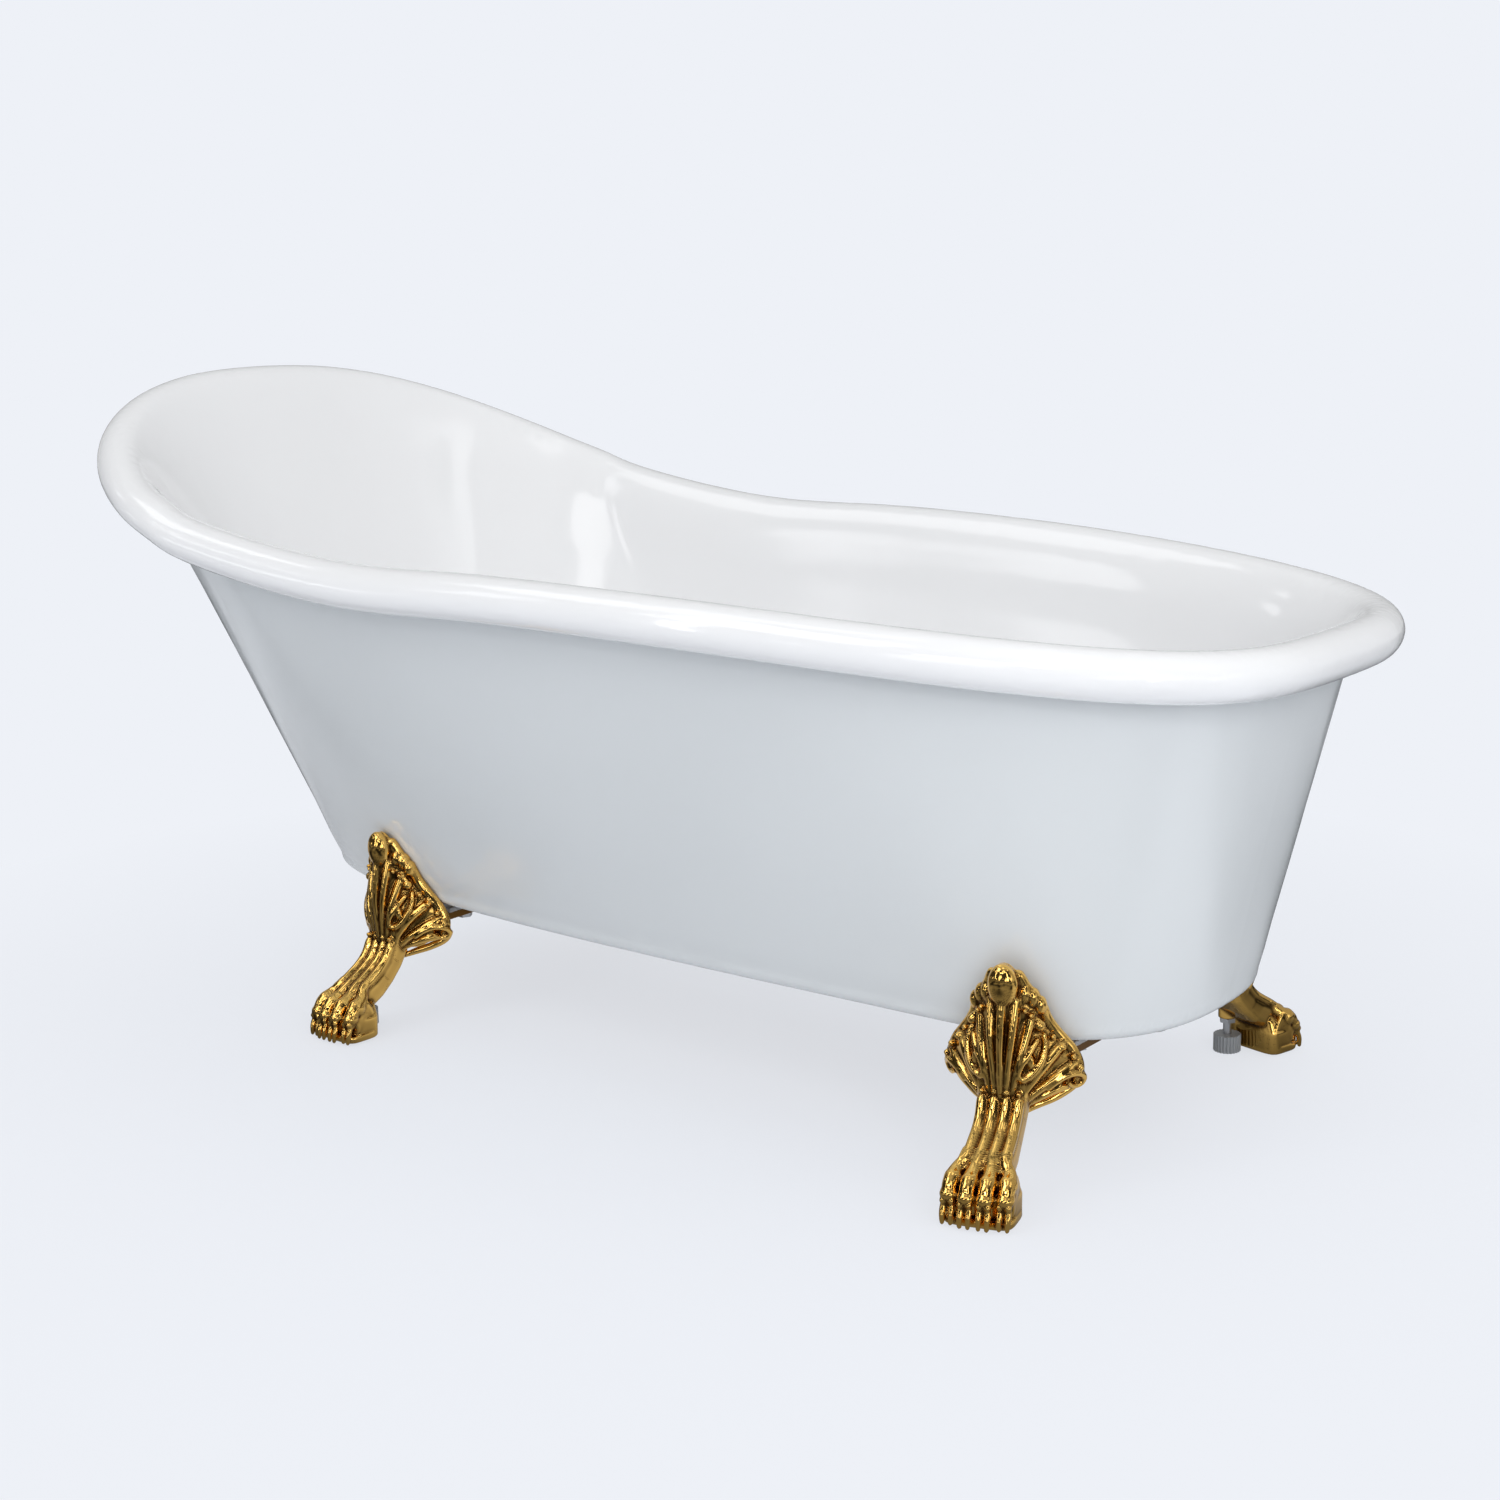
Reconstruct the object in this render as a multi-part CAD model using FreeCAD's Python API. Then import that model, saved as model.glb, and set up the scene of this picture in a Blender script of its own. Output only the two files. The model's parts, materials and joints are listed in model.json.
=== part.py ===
"""Clawfoot slipper bathtub: rolled rim basin, outer skirt, steel base frame, four cast claw legs, waste and overflow.

Millimetres. +X points to the low (foot) end, -Y to the near side, +Z up. The origin is on the floor, under the
middle of the tub.
"""
import FreeCAD
import Part
import math
import os

V = FreeCAD.Vector
UP = V(0, 0, 1)

# ---- overall size -------------------------------------------------------------------------------------------------
TUB_LENGTH = 1600.0
TUB_WIDTH = 820.0
BODY_BOTTOM_Z = 147.0        # underside of the outer skirt

# ---- rolled rim ---------------------------------------------------------------------------------------------------
ROLL_HALF_WIDTH = 27.0
ROLL_HALF_HEIGHT = 25.0
ROLL_START_ANGLE = -112.0    # the tucked lip, degrees from straight outwards
ROLL_END_ANGLE = 150.0       # where the inner wall leaves the roll
RIM_MIDDLE_Z = 570.0         # roll centre, above the origin
RIM_FOOT_FALL = 42.0         # roll centre at the foot end lies this much lower
RIM_FALL_POWER = 1.7
HEAD_RISE = 179.0            # roll centre at the head end lies this much higher
HEAD_RISE_INSET = 650.0      # the rise starts this far from the head end
HEAD_RISE_POWER = 2.3
RIM_MIDDLE_INSET = 365.0     # from the head end to the widest place of the rim
RIM_HEAD_POWER = 2.36        # 2 is an ellipse, larger is squarer
RIM_FOOT_POWER = 3.33

# ---- basin --------------------------------------------------------------------------------------------------------
BASIN_WALL = 6.5             # acrylic with its glass fibre backing, measured level
BASIN_FLOOR_THICKNESS = 6.0
BASIN_FLOOR_Z = 176.0
FLOOR_HEAD_INSET = 400.0     # from the tub's head end
FLOOR_FOOT_INSET = 245.0     # from the tub's foot end
FLOOR_MIDDLE_INSET = 550.0   # from the foot end to the widest place of the floor
FLOOR_HALF_WIDTH = 138.0
FLOOR_POWER = 2.6
CORNER_SHARE = 0.17          # part of the wall's run that the corner at the floor takes
CORNER_POWER = 3.0

# ---- outer skirt --------------------------------------------------------------------------------------------------
SKIRT_WALL = 4.0
SKIRT_TUCK = 12.0            # the skirt's top edge lies this far under the roll's centre
BOND_GAP = 0.5               # between basin and skirt at the top edge
BOTTOM_HEAD_INSET = 215.0    # from the tub's head end
BOTTOM_FOOT_INSET = 129.0    # from the tub's foot end
BOTTOM_MIDDLE_INSET = 320.0  # from the foot end to the widest place of the bottom
BOTTOM_HALF_WIDTH = 203.0
BOTTOM_HEAD_POWER = 3.2
BOTTOM_FOOT_POWER = 2.45
BOTTOM_EDGE_RADIUS = 14.0
FLANGE_WIDTH = 35.0          # the skirt's bottom edge is turned in by this much

# ---- base board and frame -----------------------------------------------------------------------------------------
BOARD_INSET = 22.0
BOARD_BOND_GAP = 0.3         # glue line between board and basin
RAIL_SIZE = 25.0
RAIL_WALL = 2.0
RAIL_INSET = 108.0           # centre of each long rail, from the skirt's widest bottom edge
CROSS_RAIL_CLEARANCE = 5.0   # from a cross rail's end to the skirt's flange
PLATE_THICKNESS = 5.0
PLATE_WIDTH = 44.0
PLATE_LENGTH = 98.0

# ---- legs ---------------------------------------------------------------------------------------------------------
LEG_HEAD_INSET = 450.0       # middle of the leg, from the tub's head end
LEG_FOOT_INSET = 260.0       # middle of the leg, from the tub's foot end
LEG_HEAD_TURN = -3.0         # degrees that a leg faces away from straight sideways, towards the foot end
LEG_FOOT_TURN = 15.0
LEG_SETBACK = 3.0            # from the skirt's bottom edge to the leg's own origin
LEAF_TOP_Z = 243.0
LEAF_GAP = 1.5               # felt strip between the leaf's back and the skirt
LEAF_SEAT = 14.0             # cast depth of the leaf behind its origin, shaped to the skirt
LEAF_THICKNESS = 8.0
LEAF_RELIEF = 12.0
WALL_SLOPE = 0.38            # sideways run of the skirt for each unit of height at the legs
TOE_REACH = 144.0            # toe tips beyond the leg's origin
PAW_HALF_WIDTH = 38.0
PAW_DEPTH = 62.0
HEEL_HALF_WIDTH = 27.0
TONGUE_WIDTH = 40.0
TONGUE_THICKNESS = 10.0
TONGUE_LENGTH = 156.0
TONGUE_ROOT = 20.0           # tongue's length inside the casting

# ---- bolts --------------------------------------------------------------------------------------------------------
BOLT_RADIUS = 5.0
BOLT_HOLE_RADIUS = 5.5
BOLT_THREAD_CLEARANCE = 0.05
BOLT_HEAD_FLATS = 17.0
BOLT_HEAD_HEIGHT = 6.4
NUT_HEIGHT = 8.0
WASHER_RADIUS = 10.0
WASHER_THICKNESS = 2.0
BOLT_END_SETBACK = 46.0      # outer bolt from a cross rail's end
BOLT_SPACING = 32.0
BOLT_PROUD = 2.0             # bolt end beyond its nut

# ---- levelling feet -----------------------------------------------------------------------------------------------
PAD_RADIUS = 16.0
PAD_HEIGHT = 20.0
PAD_RIBS = 24
PAD_RIB_RADIUS = 1.3
PAD_SIDE = -18.0             # pad centre beside the paw's centre, to the head side
PAD_BACK = 80.0              # pad centre behind the toe tips
STEM_RADIUS = 5.0
STEM_CLEARANCE = 0.06
STEM_LENGTH = 46.0
STEM_SINK = 8.0              # stem's length inside the pad
BOSS_RADIUS = 11.0
BOSS_BOTTOM_Z = 40.0
BOSS_HEIGHT = 24.0
STEM_HOLE_DEPTH = 28.0       # blind, up into the leg
LOCK_NUT_FLATS = 17.0
LOCK_NUT_HEIGHT = 5.0
LOCK_NUT_GAP = 0.3

# ---- waste --------------------------------------------------------------------------------------------------------
DRAIN_INSET = 345.0          # from the tub's foot end
DRAIN_HOLE_RADIUS = 26.0
WASTE_FLANGE_RADIUS = 36.0
WASTE_FLANGE_THICKNESS = 3.0
WASTE_TUBE_RADIUS = 24.0
WASTE_TUBE_WALL = 3.5
WASTE_TUBE_LENGTH = 44.0
SEAL_THICKNESS = 2.0
SEAL_CLEARANCE = 0.3
LOWER_SEAL_RADIUS = 33.0
LOWER_SEAL_THICKNESS = 3.0
WASTE_WASHER_THICKNESS = 2.0
LOCKNUT_RADIUS = 32.0
LOCKNUT_HEIGHT = 10.0
THREAD_CLEARANCE = 0.05
BOARD_HOLE_CLEARANCE = 4.0
TEE_WALL = 4.0
TEE_OVERLAP = 12.0           # length of waste tube inside the tee
OUTLET_RADIUS = 20.0
OUTLET_BORE = 17.0
OUTLET_END_Z = 78.0
BRANCH_RADIUS = 11.0
BRANCH_BORE = 8.1
BRANCH_Z = 115.0
BRANCH_REACH = 52.0          # end of the tee's side branch from the drain's axis
SPIDER_Z = 154.0
SPIDER_HEIGHT = 8.0
SPIDER_BAR = 4.0
SPIDER_BOSS_RADIUS = 9.0
CARTRIDGE_RADIUS = 6.5
CARTRIDGE_HEAD_RADIUS = 8.5
CARTRIDGE_HEAD = 4.0
CARTRIDGE_CLEARANCE = 0.05
PLUG_STEM_RADIUS = 3.5
PLUG_STEM_CLEARANCE = 0.06
PLUG_STEM_LENGTH = 44.0
PLUG_RADIUS = 31.0
PLUG_THICKNESS = 4.0
PLUG_CROWN = 3.0
PLUG_SEAL_RADIUS = 27.0
PLUG_SEAL_BORE = 20.0
PLUG_SEAL_THICKNESS = 2.5
PLUG_SEAT_GAP = 0.3          # between plug seal and flange when closed

# ---- overflow -----------------------------------------------------------------------------------------------------
OVERFLOW_Z = 385.0
OVERFLOW_HOLE_RADIUS = 21.0
COVER_RADIUS = 33.0
COVER_THICKNESS = 5.0
COVER_SLOTS = 6
COVER_SLOT_RADIUS = 3.0
COVER_SLOT_CIRCLE = 13.0
OVERFLOW_SEAL_RADIUS = 30.0
ELBOW_FLANGE_RADIUS = 30.0
ELBOW_FLANGE_THICKNESS = 3.0
ELBOW_DEPTH = 20.0
ELBOW_HALF_WIDTH = 19.0
ELBOW_WALL = 2.5
SPIGOT_TOP = ELBOW_WALL - ELBOW_HALF_WIDTH   # along the wall from the elbow's middle
OVERFLOW_SCREW_RADIUS = 3.0
PIPE_RADIUS = 8.0
PIPE_WALL = 1.5
PIPE_CLEARANCE = 0.1
PIPE_BEND = 30.0
PIPE_INSERT = 14.0           # length of pipe inside the elbow and the branch
PIPE_DROP_INSET = 188.0      # from the foot end to where the pipe passes down through the base board
PIPE_HOLE_CLEARANCE = 4.0
SPIGOT_RADIUS = 10.0
SPIGOT_LENGTH = 22.0
UNION_RADIUS = 15.0
UNION_LENGTH = 14.0

# ---- how finely the curved skins are set out -----------------------------------------------------------------------
RING_POINTS = 56
RING_SAMPLES = 1440
TURN_SHARE = 0.65            # 0 spaces the points by length alone, 1 by how far the outline has turned

# ---- places worked out from the tub's ends and width -------------------------------------------------------
HEAD_END_X = -TUB_LENGTH / 2
FOOT_END_X = TUB_LENGTH / 2
HEAD_RISE_START_X = HEAD_END_X + HEAD_RISE_INSET
RIM_MIDDLE_X = HEAD_END_X + RIM_MIDDLE_INSET
FLOOR_HEAD_X = HEAD_END_X + FLOOR_HEAD_INSET
FLOOR_FOOT_X = FOOT_END_X - FLOOR_FOOT_INSET
FLOOR_MIDDLE_X = FOOT_END_X - FLOOR_MIDDLE_INSET
BOTTOM_HEAD_X = HEAD_END_X + BOTTOM_HEAD_INSET
BOTTOM_FOOT_X = FOOT_END_X - BOTTOM_FOOT_INSET
BOTTOM_MIDDLE_X = FOOT_END_X - BOTTOM_MIDDLE_INSET
LEG_HEAD_X = HEAD_END_X + LEG_HEAD_INSET
LEG_FOOT_X = FOOT_END_X - LEG_FOOT_INSET
DRAIN_X = FOOT_END_X - DRAIN_INSET
PIPE_DROP_X = FOOT_END_X - PIPE_DROP_INSET
RAIL_Y = BOTTOM_HALF_WIDTH - RAIL_INSET


# ---- outlines and skins ------------------------------------------------------------------------------------
def outline(middle_x, head_x, foot_x, half_width, head_power, foot_power):
    """Points and outward directions round a squared oval that starts at its foot end. They gather at its turns."""
    dense = []
    for i in range(RING_SAMPLES + 1):
        angle = 2 * math.pi * i / RING_SAMPLES
        c, s = math.cos(angle), math.sin(angle)
        power = foot_power if c > 0 else head_power
        reach = foot_x - middle_x if c > 0 else middle_x - head_x
        scale = (abs(c) ** power + abs(s) ** power) ** (-1 / power)
        x, y = reach * c * scale, half_width * s * scale
        gx = math.copysign(abs(x / reach) ** (power - 1) / reach, x)
        gy = math.copysign(abs(y / half_width) ** (power - 1) / half_width, y)
        out = V(gx, gy, 0)
        out.normalize()
        dense.append((V(middle_x + x, y, 0), out))
    length = sum(a[0].distanceToPoint(b[0]) for a, b in zip(dense, dense[1:]))
    run = [0.0]
    for a, b in zip(dense, dense[1:]):
        turn = a[1].getAngle(b[1]) / (2 * math.pi)
        run.append(run[-1] + (1 - TURN_SHARE) * a[0].distanceToPoint(b[0]) / length + TURN_SHARE * turn)
    ring = []
    k = 0
    for i in range(RING_POINTS):
        want = run[-1] * i / RING_POINTS
        while run[k + 1] < want:
            k += 1
        t = (want - run[k]) / (run[k + 1] - run[k])
        point = dense[k][0] * (1 - t) + dense[k + 1][0] * t
        out = dense[k][1] * (1 - t) + dense[k + 1][1] * t
        out.normalize()
        ring.append((point, out))
    return ring


def skin(rings):
    """Smooth surface through closed rings of points that match one to one."""
    across = []
    for ring in rings:
        curve = Part.BSplineCurve()
        steps = [i / len(ring) for i in range(len(ring) + 1)]
        curve.interpolate(Points=ring, PeriodicFlag=True, Parameters=steps)
        across.append(curve)
    run = [0.0]
    for a, b in zip(rings, rings[1:]):
        run.append(run[-1] + sum(p.distanceToPoint(q) for p, q in zip(a, b)) / len(a))
    steps = [r / run[-1] for r in run]
    columns = []
    for column in zip(*(curve.getPoles() for curve in across)):
        curve = Part.BSplineCurve()
        curve.interpolate(Points=list(column), Parameters=steps)
        columns.append(curve)
    along = columns[0]
    surface = Part.BSplineSurface()
    surface.buildFromPolesMultsKnots(
        [c.getPoles() for c in columns], across[0].getMultiplicities(), along.getMultiplicities(),
        across[0].getKnots(), along.getKnots(), True, False, across[0].Degree, along.Degree)
    return surface


def closed_curve(ring):
    curve = Part.BSplineCurve()
    curve.interpolate(Points=ring, PeriodicFlag=True, Parameters=[i / len(ring) for i in range(len(ring) + 1)])
    return curve.toShape()


def edge_of(surface, last):
    """The closed edge of a skin at its last ring, or at its first."""
    low, high = surface.bounds()[2:]
    return surface.vIso(high if last else low).toShape()


def closed_solid(faces):
    shell = Part.Compound(faces)
    shell.sewShape()
    shell = shell.Shells[0] if shell.Shells else Part.Shell(shell.Faces)
    solid = Part.Solid(shell)
    if solid.Volume < 0:
        solid.reverse()
    return solid


def shell_between(visible, hidden, flange=None):
    """Solid between two skins. A lip joins their first rings. Their last are closed by flat floors, or by flat
    flanges as far as the two rings given, which a second lip joins."""
    front, back = skin(visible), skin(hidden)
    faces = [front.toShape(), back.toShape()]
    faces.append(Part.makeRuledSurface(edge_of(front, False), edge_of(back, False)))
    if flange is None:
        faces += [Part.Face(Part.Wire([edge_of(s, True)])) for s in (front, back)]
        return closed_solid(faces)
    inner = [closed_curve(ring) for ring in flange]
    for surface, edge in zip((front, back), inner):
        faces.append(Part.Face([Part.Wire([edge_of(surface, True)]), Part.Wire([edge])], "Part::FaceMakerCheese"))
    faces.append(Part.makeRuledSurface(inner[0], inner[1]))
    return closed_solid(faces)


def lifted(point, z):
    return V(point.x, point.y, z)


# ---- the shared shape of basin and skirt -------------------------------------------------------------------
def rim_z(x):
    """Height of the roll's centre."""
    foot_reach = FOOT_END_X - ROLL_HALF_WIDTH
    z = RIM_MIDDLE_Z
    if x > 0:
        z -= RIM_FOOT_FALL * (x / foot_reach) ** RIM_FALL_POWER
    if x < HEAD_RISE_START_X:
        share = (HEAD_RISE_START_X - x) / (HEAD_RISE_START_X + foot_reach)
        z += HEAD_RISE * share ** HEAD_RISE_POWER
    return z


def rim_ring():
    reach = TUB_LENGTH / 2 - ROLL_HALF_WIDTH
    ring = outline(RIM_MIDDLE_X, -reach, reach, TUB_WIDTH / 2 - ROLL_HALF_WIDTH, RIM_HEAD_POWER, RIM_FOOT_POWER)
    return [(lifted(p, rim_z(p.x)), out) for p, out in ring]


def floor_ring(grow=0.0):
    return [p + out * grow for p, out in outline(
        FLOOR_MIDDLE_X, FLOOR_HEAD_X, FLOOR_FOOT_X, FLOOR_HALF_WIDTH, FLOOR_POWER, FLOOR_POWER)]


def bottom_ring(inset=0.0):
    return [p - out * inset for p, out in outline(
        BOTTOM_MIDDLE_X, BOTTOM_HEAD_X, BOTTOM_FOOT_X, BOTTOM_HALF_WIDTH, BOTTOM_HEAD_POWER, BOTTOM_FOOT_POWER)]


def roll_ring(angle, inward=0.0):
    """Ring on the roll's section at this angle, or under its skin."""
    c, s = math.cos(math.radians(angle)), math.sin(math.radians(angle))
    return [p + out * ((ROLL_HALF_WIDTH - inward) * c) + UP * ((ROLL_HALF_HEIGHT - inward) * s)
            for p, out in rim_ring()]


def wall_run(depth):
    """How far in the wall has come at this share of its depth: straight, with a rounded corner at the floor."""
    corner = 1 - max(0.0, 1 - depth ** CORNER_POWER) ** (1 / CORNER_POWER)
    return (1 - CORNER_SHARE) * depth + CORNER_SHARE * corner


def wall_depths():
    """Shares of the depth at which the wall's rings are set, closer together in the corner."""
    turns = [6, 15, 25, 35, 45, 55, 64, 72, 79, 85, 90]
    return [math.sin(math.radians(t)) ** (2 / CORNER_POWER) for t in turns]


def wall_ring(depth, grow=0.0, drop=0.0):
    """Ring of the basin's wall at this share of its depth."""
    run = wall_run(depth)
    top = roll_ring(ROLL_END_ANGLE)
    ring = []
    for (_, out), high, low in zip(rim_ring(), top, floor_ring()):
        flat = lifted(high, 0) * (1 - run) + low * run + out * grow
        ring.append(lifted(flat, high.z + (BASIN_FLOOR_Z - high.z) * depth - drop))
    return ring


def skirt_top_ring(inward=0.0):
    """Outside of the skirt's top edge, seated on the basin's back under the roll."""
    top = roll_ring(ROLL_END_ANGLE)
    ring = []
    for (centre, out), high, low in zip(rim_ring(), top, floor_ring()):
        z = centre.z - SKIRT_TUCK
        depth = (high.z - z) / (high.z - BASIN_FLOOR_Z)
        run = wall_run(depth)
        flat = lifted(high, 0) * (1 - run) + low * run
        ring.append(lifted(flat + out * (BASIN_WALL + BOND_GAP + SKIRT_WALL - inward), z))
    return ring


def body_half_width(x):
    """Half width of the skirt at its bottom edge."""
    reach = BOTTOM_FOOT_X - BOTTOM_MIDDLE_X if x > BOTTOM_MIDDLE_X else BOTTOM_MIDDLE_X - BOTTOM_HEAD_X
    power = BOTTOM_FOOT_POWER if x > BOTTOM_MIDDLE_X else BOTTOM_HEAD_POWER
    return BOTTOM_HALF_WIDTH * (1 - abs((x - BOTTOM_MIDDLE_X) / reach) ** power) ** (1 / power)


# ---- small helpers -----------------------------------------------------------------------------------------
def rod(radius, start, end):
    return Part.makeCylinder(radius, (end - start).Length, start, end - start)


def ring_of(outer, inner, start, end):
    return rod(outer, start, end).cut(rod(inner, start, end))


def hexagon(flats, start, end):
    """Six sided prism between two points on a vertical axis."""
    radius = flats / math.sqrt(3)
    corners = [start + V(radius * math.cos(math.radians(a)), radius * math.sin(math.radians(a)), 0)
               for a in range(0, 361, 60)]
    return Part.Face(Part.makePolygon(corners)).extrude(end - start)


def box(low, high):
    return Part.makeBox(high.x - low.x, high.y - low.y, high.z - low.z, low)


def mirrored(shape):
    return shape.mirror(V(0, 0, 0), V(0, 1, 0))


def slab(ring, low_z, high_z):
    """Flat plate with the outline of a ring."""
    edge = closed_curve([lifted(p, low_z) for p in ring])
    return Part.Face(Part.Wire([edge])).extrude(V(0, 0, high_z - low_z))


# ---- basin and skirt ---------------------------------------------------------------------------------------
def basin_shell():
    angles = [ROLL_START_ANGLE + (ROLL_END_ANGLE - ROLL_START_ANGLE) * i / 12 for i in range(13)]
    visible = [roll_ring(a) for a in angles] + [wall_ring(d) for d in wall_depths()]
    hidden = [roll_ring(a, BASIN_WALL) for a in angles[:-1]]
    hidden += [wall_ring(d, BASIN_WALL, BASIN_FLOOR_THICKNESS * d) for d in wall_depths()]
    basin = shell_between(visible, hidden)
    drain = rod(DRAIN_HOLE_RADIUS, V(DRAIN_X, 0, 0), V(DRAIN_X, 0, BASIN_FLOOR_Z + BASIN_WALL))
    point, axis = overflow_seat()
    overflow = rod(OVERFLOW_HOLE_RADIUS, point - axis * (3 * BASIN_WALL), point + axis * (3 * BASIN_WALL))
    return basin.cut(drain).cut(overflow)


def skirt_rings(inward):
    """Rings of the skirt from its top edge round the bottom edge, this far inside its outer face."""
    steps = [0.0, 0.1, 0.3, 0.5, 0.7, 0.9, 0.97]
    radius = BOTTOM_EDGE_RADIUS - inward
    low_z = BODY_BOTTOM_Z + BOTTOM_EDGE_RADIUS
    rings = [[p * (1 - t) + lifted(q, low_z) * t for p, q in zip(skirt_top_ring(inward), bottom_ring(inward))]
             for t in steps]
    for angle in (0, 18, 36, 54, 72, 90):
        c, s = math.cos(math.radians(angle)), math.sin(math.radians(angle))
        rings.append([lifted(p, low_z - radius * s) for p in bottom_ring(inward + radius * (1 - c))])
    return rings


def outer_skirt():
    flange = [[lifted(p, z) for p in bottom_ring(FLANGE_WIDTH)] for z in (BODY_BOTTOM_Z, BODY_BOTTOM_Z + SKIRT_WALL)]
    return shell_between(skirt_rings(0), skirt_rings(SKIRT_WALL), flange)


def skirt_block():
    """Solid that fills the skirt with the legs' gap round it, cut off flat above its top edge."""
    rings = skirt_rings(-LEAF_GAP)
    surface = skin([[lifted(p, HEAD_RISE + RIM_MIDDLE_Z) for p in rings[0]]] + rings)
    ends = [Part.Face(Part.Wire([edge_of(surface, last)])) for last in (False, True)]
    return closed_solid([surface.toShape()] + ends)


# ---- base board and frame ----------------------------------------------------------------------------------
BOARD_BOTTOM_Z = BODY_BOTTOM_Z + SKIRT_WALL
BOARD_TOP_Z = BASIN_FLOOR_Z - BASIN_FLOOR_THICKNESS - BOARD_BOND_GAP
RAIL_BOTTOM_Z = BOARD_BOTTOM_Z - RAIL_SIZE
PLATE_BOTTOM_Z = RAIL_BOTTOM_Z - PLATE_THICKNESS
TONGUE_BOTTOM_Z = PLATE_BOTTOM_Z - TONGUE_THICKNESS


def base_board():
    board = slab(bottom_ring(BOARD_INSET), BOARD_BOTTOM_Z, BOARD_TOP_Z)
    for x, radius in ((DRAIN_X, LOWER_SEAL_RADIUS + BOARD_HOLE_CLEARANCE),
                      (PIPE_DROP_X, PIPE_RADIUS + PIPE_HOLE_CLEARANCE)):
        board = board.cut(rod(radius, V(x, 0, BOARD_BOTTOM_Z), V(x, 0, BOARD_TOP_Z)))
    return board


def cross_rail_reach(x):
    """Half length of the cross rail at a pair of legs."""
    half = RAIL_SIZE / 2
    narrow = min(body_half_width(x - half), body_half_width(x + half))
    return narrow - FLANGE_WIDTH - CROSS_RAIL_CLEARANCE


def bolt_places(x):
    """Where the two bolts of the near leg at x stand."""
    outer = cross_rail_reach(x) - BOLT_END_SETBACK
    return [V(x, -outer, 0), V(x, -outer + BOLT_SPACING, 0)]


def rail(low, high, long_axis):
    """Square tube, open at its ends."""
    wall = V(RAIL_WALL, RAIL_WALL, RAIL_WALL)
    wall = V(0 if long_axis == "x" else wall.x, 0 if long_axis == "y" else wall.y, wall.z)
    return box(low, high).cut(box(low + wall, high - wall))


def cross_rail(x):
    reach, half = cross_rail_reach(x), RAIL_SIZE / 2
    tube = rail(V(x - half, -reach, RAIL_BOTTOM_Z), V(x + half, reach, BOARD_BOTTOM_Z), "y")
    for place in bolt_places(x):
        hole = rod(BOLT_HOLE_RADIUS, lifted(place, RAIL_BOTTOM_Z - 1), lifted(place, RAIL_BOTTOM_Z + RAIL_WALL + 1))
        tube = tube.cut(hole).cut(mirrored(hole))
    return tube


def side_rail():
    half = RAIL_SIZE / 2
    return rail(V(LEG_HEAD_X + half, -RAIL_Y - half, RAIL_BOTTOM_Z),
                V(LEG_FOOT_X - half, -RAIL_Y + half, BOARD_BOTTOM_Z), "x")


def leg_plate(x):
    """Plate welded under the end of a cross rail, which the leg's tongue bolts to."""
    reach = cross_rail_reach(x)
    plate = box(V(x - PLATE_WIDTH / 2, -reach, PLATE_BOTTOM_Z),
                V(x + PLATE_WIDTH / 2, -reach + PLATE_LENGTH, RAIL_BOTTOM_Z))
    for place in bolt_places(x):
        plate = plate.cut(rod(BOLT_HOLE_RADIUS, lifted(place, PLATE_BOTTOM_Z - 1), lifted(place, RAIL_BOTTOM_Z + 1)))
    return plate


# ---- legs --------------------------------------------------------------------------------------------------
# A leg is drawn facing -Y, with its origin at y = 0 just outside the skirt's bottom edge, then turned and set in
# place. Its bowed front stands away from the wall, which its leaf lies against.
LEAF_CUSPS = [(0, 243), (17, 221), (36, 196), (57, 170), (72, 145), (66, 118), (33, 98), (0, 90)]
LEAF_BULGES = [0.24, 0.3, 0.16, 0.16, 0.2, 0.08, 0.04]   # of each scallop, shares of its length
SHANK_SPINE = [(-37, 212, 14, 9), (-34, 186, 25, 15), (-28, 155, 33, 22), (-28, 124, 33, 21), (-36, 96, 26, 14),
               (-52, 72, 24, 14), (-74, 56, 26, 16), (-100, 43, 31, 19)]   # y, z, half width, half depth
TOES = 4


def scallops(corners, bulges):
    """Closed wire of arcs between corners that run clockwise, as seen from the front."""
    edges = []
    for a, b, bulge in zip(corners, corners[1:], bulges):
        chord = b - a
        edges.append(Part.Arc(a, (a + b) * 0.5 + V(-chord.z, 0, chord.x) * bulge, b).toShape())
    return Part.Wire(edges)


def leaf(scale, back, front):
    """Flat scalloped leaf, leaning with the wall, between two distances in front of it."""
    lean = math.atan(WALL_SLOPE)
    slant = math.cos(lean)
    middle = (LEAF_CUSPS[0][1] + LEAF_CUSPS[-1][1]) / 2 - 20
    half = [(u * scale, middle + (z * LEAF_TOP_Z / LEAF_CUSPS[0][1] - middle) * scale) for u, z in LEAF_CUSPS]
    points = half + [(-u, z) for u, z in reversed(half[:-1])]
    corners = [V(u, 0, (z - BODY_BOTTOM_Z) / slant) for u, z in points]
    plate = Part.Face(scallops(corners, LEAF_BULGES + LEAF_BULGES[::-1])).extrude(V(0, -(front - back), 0))
    plate.translate(V(0, -back, 0))
    plate.rotate(V(0, 0, 0), V(1, 0, 0), math.degrees(lean))
    plate.translate(V(0, 0, BODY_BOTTOM_Z))
    return plate


def oval(y, z, half_width, half_depth, tip):
    """Elliptical wire across the leg, tipped by an angle from level."""
    ellipse = Part.Ellipse(V(0, 0, 0), max(half_width, half_depth), min(half_width, half_depth))
    wire = Part.Wire([ellipse.toShape()])
    if half_depth > half_width:
        wire.rotate(V(0, 0, 0), UP, 90)
    wire.rotate(V(0, 0, 0), V(1, 0, 0), tip)
    wire.translate(V(0, y, z))
    return wire


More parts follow.
